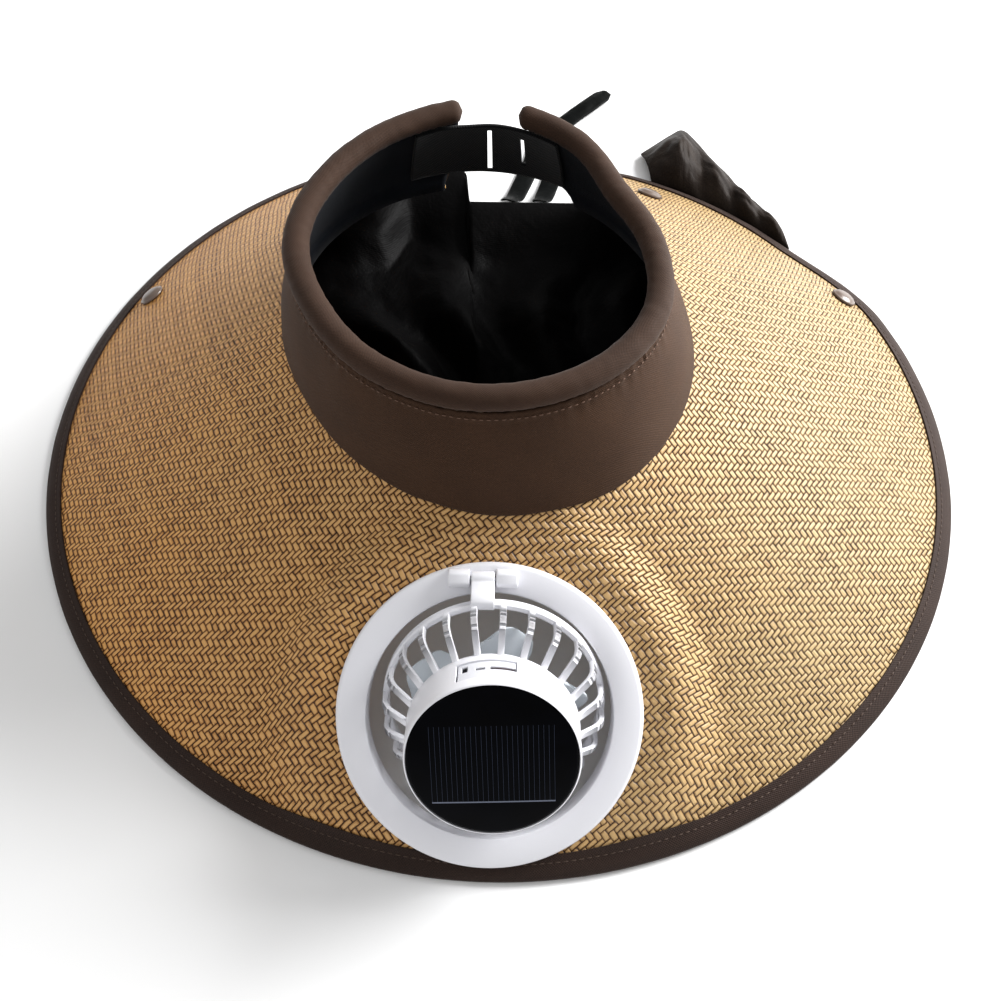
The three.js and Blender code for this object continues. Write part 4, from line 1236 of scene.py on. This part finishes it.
def makeBasket():
    rim, depth, rise, r = fan["rim"], fan["rimDepth"], fan["rise"], hinge["barrel"]
    inner = rim - fan["rimWall"]
    profile = [
        (inner + 0.0004, 0), (rim - 0.0006, 0), (rim, 0.0006), (rim, depth - 0.0006),
        (rim - 0.0006, depth), (inner + 0.0006, depth), (inner, depth - 0.0006),
        (inner, 0.0005),
    ]
    bm = lathe(profile, 128)
    for k in range(fan["ribs"]):
        turn = (k + fan["ribTurn"]) / fan["ribs"] * math.tau
        gather(bm, moved(ribShape(), Matrix.Rotation(turn, 4, "Z")))
    gather(bm, drumShape())
    moved(bm, axisPlace)
    armTop, armEnd = rise + depth + 0.0006, inner - fan["reach"]
    outline = [(r * c, r * s) for c, s in (cosSin(20 * k - 60) for k in range(7))]
    outline += [
        (r * 0.1, r), (-0.0022, armTop - 0.0032), (-0.0034, armTop - 0.0012),
        (-0.0052, armTop), (armEnd, armTop), (armEnd, rise + 0.001),
        (armEnd + fan["rimWall"] - 0.0006, rise + 0.0004), (-0.0034, -r * 0.2),
        (-r * 0.7, -r * 0.72), (0, -r),
    ]
    gather(bm, moved(prism(outline, hinge["arm"], 0.0005), fanPlace))
    toObject(bm, "fan_basket_moulding", "plastic", "fan_head", "fan_basket")


plate = {
    "inset": (0.0002, 0.0007),  # above the step, below it
    "thickness": 0.001,
    "slots": [  # from the window's left, below the step, width, height
        (0.0026, 0.0024, 0.0022, 0.0042),
        (0.0082, 0.0012, 0.0034, 0.0022),
        (0.0164, 0.0016, 0.0092, 0.0022),
    ],
    "leadRadius": 0.0008,
    "lead": [  # from the window's left, in from the wall, up from its own height
        (0.009, 0.008, 0.004),
        (0.0115, 0.0022, 0.0012),
        (0.014, 0.0008, 0),
        (0.018, 0.0012, 0),
        (0.0205, 0.003, -0.0004),
        (0.022, 0.008, -0.001),
    ],
}


def makeCover():
    # The plate in the housing's window: flush towards the panel, recessed below a step.
    left, right, low, high = fan["window"]
    gap, step = fan["fit"], fan["step"]

    def place(u, v):
        x = lerp(left + gap, right - gap, u)
        z = lerp(low + gap, high - gap, v)
        share = (z - fan["low"]) / (fan["high"] - fan["low"])
        r = lerp(fan["housing"], fan["housingTop"], share) - plate["inset"][z <= step]
        return axisPlace @ Vector((x, math.sqrt(r**2 - x * x), z)) - hatShift

    def inSlot(centre):
        c = toLocal @ centre
        for x, z, width, height in plate["slots"]:
            if abs(c.x - left - x) < width / 2 and abs(c.z - step + z) < height / 2:
                return True
        return False

    toLocal = axisPlace.inverted()
    bm = sheetMesh(88, 48, place, lambda u, v: (u * 0.022, v * 0.0116))
    cutAway(bm, inSlot)
    made = toObject(bm, "switch_plate", "cover", "fan_head", "switch_cover", sharpAngle=35)
    thicken(made, plate["thickness"], -1)


def makeLead():
    # The panel's red lead, which shows in the plate's right opening.
    data = bpy.data.curves.new("panel_lead", "CURVE")
    data.dimensions = "3D"
    data.bevel_depth = plate["leadRadius"]
    data.bevel_resolution = 3
    data.resolution_u = 10
    spline = data.splines.new("NURBS")
    spline.points.add(len(plate["lead"]) - 1)
    for point, (x, inward, up) in zip(spline.points, plate["lead"]):
        y = fan["housing"] - 0.0028 - inward
        place = Vector((fan["window"][0] + x, y, fan["step"] - 0.0017 + up))
        point.co = (*(axisPlace @ place), 1)
    spline.use_endpoint_u = True
    spline.order_u = 4
    curve = toScene("leadCurve", data)
    mesh = bpy.data.meshes.new_from_object(curve)
    bpy.data.objects.remove(curve)
    bm = bmesh.new()
    bm.from_mesh(mesh)
    bpy.data.meshes.remove(mesh)
    toObject(bm, "panel_lead", "wire", "fan_head", sharpAngle=80)


def makePanel():
    r, top = fan["panel"], fan["high"]
    low = top - fan["panelThickness"]
    edge = [(r, low), (r, top - 0.0006), (r - 0.0002, top - 0.0002), (r - 0.0006, top)]
    dome = [(r - 0.0012, top + 0.0001), (r * 0.6, top + 0.00025), (0, top + 0.0003)]
    bm = lathe([(0, low), *edge, *dome], 128, closed=False)
    uvLayer = bm.loops.layers.uv.new("UVMap")
    for face in bm.faces:
        for loop in face.loops:
            loop[uvLayer].uv = loop.vert.co.xy
    toObject(moved(bm, axisPlace), "solar_disc", "panel", "fan_head", "solar_panel")


motor = {"shaft": 0.001, "shaftLow": 0.007, "boss": 0.0032, "bossLow": 0.0171, "low": 0.0186}


def makeMotor():
    m, low = fan["motor"], motor["low"]
    top = fan["high"] - fan["panelThickness"] - fan["wall"] - 0.0005
    shaft = [(0, motor["shaftLow"]), (motor["shaft"], motor["shaftLow"])]
    boss = [(motor["shaft"], motor["bossLow"]), (motor["boss"], motor["bossLow"])]
    can = [(motor["boss"], low), (m - 0.0012, low), (m - 0.0003, low + 0.0003)]
    can += [(m, low + 0.0012), (m, top), (0, top)]
    bm = lathe(shaft + boss + can, 64, closed=False)
    toObject(moved(bm, axisPlace), "motor_can", "motor", "fan_head", "fan_motor")


blades = {
    "count": 5,
    "turn": 0.2,
    "tip": 0.0364,
    "hub": 0.007,
    "low": 0.004,
    "high": 0.0142,
    "bore": 0.0013,
    "boreTop": 0.0067,
    "pitch": 26,
    "middle": 0.009,
    "thickness": 0.0011,
    "rootHalf": 0.0034,
    "lead": (0.0112, 0.75, 0.72, 1.06),  # half chord, where it is full, where the tip rounds off
    "trail": (0.0128, 0.7, 0.78, 1.08),
}


def bladeShape():
    # A plate that widens outwards, cups along its chord and is rounded at its tip.
    root, tip = blades["hub"] - 0.0012, blades["tip"] - 0.0006
    bm = bmesh.new()
    bmesh.ops.create_grid(bm, x_segments=14, y_segments=12, size=1)
    for v in bm.verts:
        r, c = v.co.x * 0.5 + 0.5, v.co.y
        half, full, roundFrom, roundTo = blades["lead" if c > 0 else "trail"]
        tipShare = math.sqrt(max(1 - smooth(r, roundFrom, roundTo) ** 2 * 0.9, 0.0))
        chord = c * lerp(blades["rootHalf"], half, smooth(r, 0, full)) * tipShare
        v.co = Vector((lerp(root, tip - 0.0045 * c * c, r), chord, 0.0016 * (1 - c * c) * r))
    bmesh.ops.solidify(bm, geom=bm.faces, thickness=blades["thickness"])
    bmesh.ops.recalc_face_normals(bm, faces=bm.faces)
    moved(bm, Matrix.Rotation(math.radians(blades["pitch"]), 4, "X"))
    return moved(bm, Matrix.Translation((0, 0, blades["middle"])))


def makeBlades():
    h, low, high, bore = (blades[key] for key in ("hub", "low", "high", "bore"))
    profile = [(bore, high), (bore, blades["boreTop"]), (0.0, blades["boreTop"])]
    profile += [(0, low - 0.0001), (h * 0.5, low), (h * 0.8, low + 0.0006), (h, low + 0.0024)]
    profile += [(h, high - 0.0004), (h - 0.0004, high)]
    bm = lathe(profile, 56)
    for k in range(blades["count"]):
        turn = k / blades["count"] * math.tau + blades["turn"]
        gather(bm, moved(bladeShape(), Matrix.Rotation(turn, 4, "Z")))
    toObject(moved(bm, axisPlace), "smoked_blades", "blade", "blades", "fan_blades", sharpAngle=50)


makeBasket()
makeCover()
makeLead()
makePanel()
makeMotor()
makeBlades()
print("fan is built")

# Veil, its corner and its ties

veil = {
    "snapRadius": 0.184,
    "snapY": 0.149,
    "snapHeight": 0.017,
    "sweep": 64,
    "frontY": 0.030,
    "frontHalf": 0.104,
    "fold": 0.013,
    "folds": 6,
    "floor": 0.00105,
    "thickness": 0.0008,
    "flap": (-0.052, -0.0185),  # cloth that shows in the open back
    "flapDepth": 0.024,
}


def veilPlan(u, v):
    side = 2 * u - 1
    turn = side * math.radians(veil["sweep"])
    radius = min(veil["snapRadius"], veil["snapY"] / math.cos(turn))
    snapped = Vector((radius * math.sin(turn), radius * math.cos(turn)))
    low, high = veil["flap"]
    shown = smooth(snapped.x, low - 0.02, low) * (1 - smooth(snapped.x, high - 0.003, high))
    snapped.y += veil["flapDepth"] * shown
    free = Vector((side * veil["frontHalf"], veil["frontY"] + 0.022 * side * side))
    return snapped.lerp(free, v)


def veilPoint(u, v):
    plan = veilPlan(u, v)
    ceiling = strawHeight(plan.x, plan.y) - 0.0028
    edge = min(ceiling, veil["snapHeight"])
    folds = 0.5 + 0.5 * math.sin(math.tau * (veil["folds"] * u + 0.7 * math.sin(3.1 * v) + 0.2))
    cross = 0.6 + 0.4 * math.sin(7.5 * v + 5 * u)
    small = noise.noise(Vector((u * 16, v * 5, 2))) * 0.5
    small += noise.noise(Vector((u * 34, v * 11, 4))) * 0.25
    loose = veil["floor"] + veil["fold"] * (folds * cross + 0.22 * small) * smooth(v, 0, 0.2)
    height = lerp(edge, min(loose, ceiling), smooth(v, 0.02, 0.3))
    plan.x += 0.0015 * noise.noise(Vector((u * 9, v * 9, 7)))
    return Vector((plan.x, plan.y, max(min(height, ceiling), veil["floor"])))


def makeVeil(ribbons):
    bm = sheetMesh(240, 100, veilPoint, lambda u, v: (u * 0.34, v * 0.13))
    faceUp(bm)
    made = toObject(bm, "veil_satin", "satin", "hat", "veil", sharpAngle=180)
    thicken(made, veil["thickness"], even=False)


cornerRows = [  # turn from the back, depth, lean, fold, edge
    (25.6, 0.022, -0.005, 0.004, 0.002),
    (27.4, 0.032, -0.003, 0.009, 0.002),
    (29.8, 0.044, -0.001, 0.014, 0.003),
    (31.6, 0.050, 0.0, 0.012, 0.004),
    (33.9, 0.046, 0.0, 0.007, 0.003),
    (36.4, 0.038, 0.0, 0.010, 0.002),
    (39.2, 0.031, 0.0, 0.006, 0.002),
    (41.4, 0.025, 0.0, 0.009, 0.001),
    (44.2, 0.022, 0.0, 0.005, 0.001),
    (46.6, 0.018, 0.0, 0.007, 0.001),
    (48.4, 0.014, 0.0, 0.004, 0.001),
    (49.6, 0.003, 0.0, 0.001, 0.0),
]


def tableRow(rows, share):
    place = share * (len(rows) - 1)
    first = min(int(place), len(rows) - 2)
    near = [rows[min(max(first + k, 0), len(rows) - 1)] for k in (-1, 0, 1, 2)]
    return [through(*column, place - first) for column in zip(*near)]


def makeCorner():
    def place(u, v):
        turn, depth, lean, fold, edge = tableRow(cornerRows, u)
        p = headPoint(180 - turn, edgeRadius(180 - turn) + tape["wrap"] + 0.0001, 0)
        crease = 0.14 * noise.noise(Vector((u * 12, v * 4, 3)))
        crease += 0.07 * noise.noise(Vector((u * 26, v * 7, 6)))
        lift = fold * math.sin(math.pi * v**0.8) * (1 + crease) + edge * v
        return Vector((p.x + lean * v, p.y + depth * v, veil["floor"] + max(lift, 0)))

    bm = sheetMesh(170, 36, place, lambda u, v: (u * 0.13, v * 0.05))
    faceUp(bm)
    made = toObject(bm, "veil_corner_satin", "cornerSatin", "hat", "veil_corner", sharpAngle=180)
    thicken(made, veil["thickness"])


ties = {  # points along each: across, back, lift, as shares of the brim and the snap
    "width": 0.010,
    "thickness": 0.0008,
    "tie_left": [
        (0.010, 0.722, 0.95),
        (0.018, 0.765, 0.55),
        (0.031, 0.820, 0.08),
        (0.068, 0.940, 0),
        (0.098, 1.040, 0),
        (0.175, 1.135, 0.05),
        (0.238, 1.200, 0.1),
        (0.285, 1.258, 0.02),
    ],
    "tie_right": [
        (0.090, 0.722, 0.95),
        (0.093, 0.765, 0.5),
        (0.106, 0.820, 0.08),
        (0.138, 0.940, 0),
        (0.162, 1.030, 0),
        (0.172, 1.062, 0),
    ],
}


def makeTie(node):
    rows = ties[node]

    def middle(v):
        x, y, lift = tableRow(rows, v)
        edge = hat["edgeRadius"]
        return Vector((x * edge, y * edge, max(lift, 0) * veil["snapHeight"]))

    length = sum((middle(k / 100) - middle((k + 1) / 100)).length for k in range(100))

    def place(u, v):
        p = middle(v)
        way = (middle(min(v + 0.01, 1)) - middle(max(v - 0.01, 0))).normalized()
        half = ties["width"] / 2 * (1 - 0.4 * smooth(v, 0.93, 1))
        off = 2 * u - 1
        lift = 0.0008 * (1 - off * off) + 0.0005 * noise.noise(Vector((v * 14, off, 2)))
        p += Vector((way.y, -way.x, 0)) * half * off
        p.z += veil["floor"] + max(lift, 0)
        return p

    bm = sheetMesh(10, 140, place, lambda u, v: (u * ties["width"], v * length))
    faceUp(bm)
    made = toObject(bm, node.replace("tie", "ribbon"), "ribbon", "hat", node, sharpAngle=180)
    return thicken(made, ties["thickness"])


makeVeil([makeTie("tie_left"), makeTie("tie_right")])
makeCorner()
print("veil is folded under the hat")


def makeFloor():
    shade = Shade("paleFloor")
    cloud = shade.noise(shade.objectPlace(), 3)
    colour = shade.blend(cloud * 0.2, *(tone(text) for text in studio["floorTones"]))
    shade.finish(Base_Color=colour, Roughness=0.9)
    bm = bmesh.new()
    bmesh.ops.create_grid(bm, x_segments=1, y_segments=1, size=studio["floorHalfWidth"])
    mesh = bpy.data.meshes.new("studioFloor")
    bm.to_mesh(mesh)
    bm.free()
    mesh.materials.append(shade.material)
    floor = toScene("studioFloor", mesh)


makeFloor()
print("floor is laid")
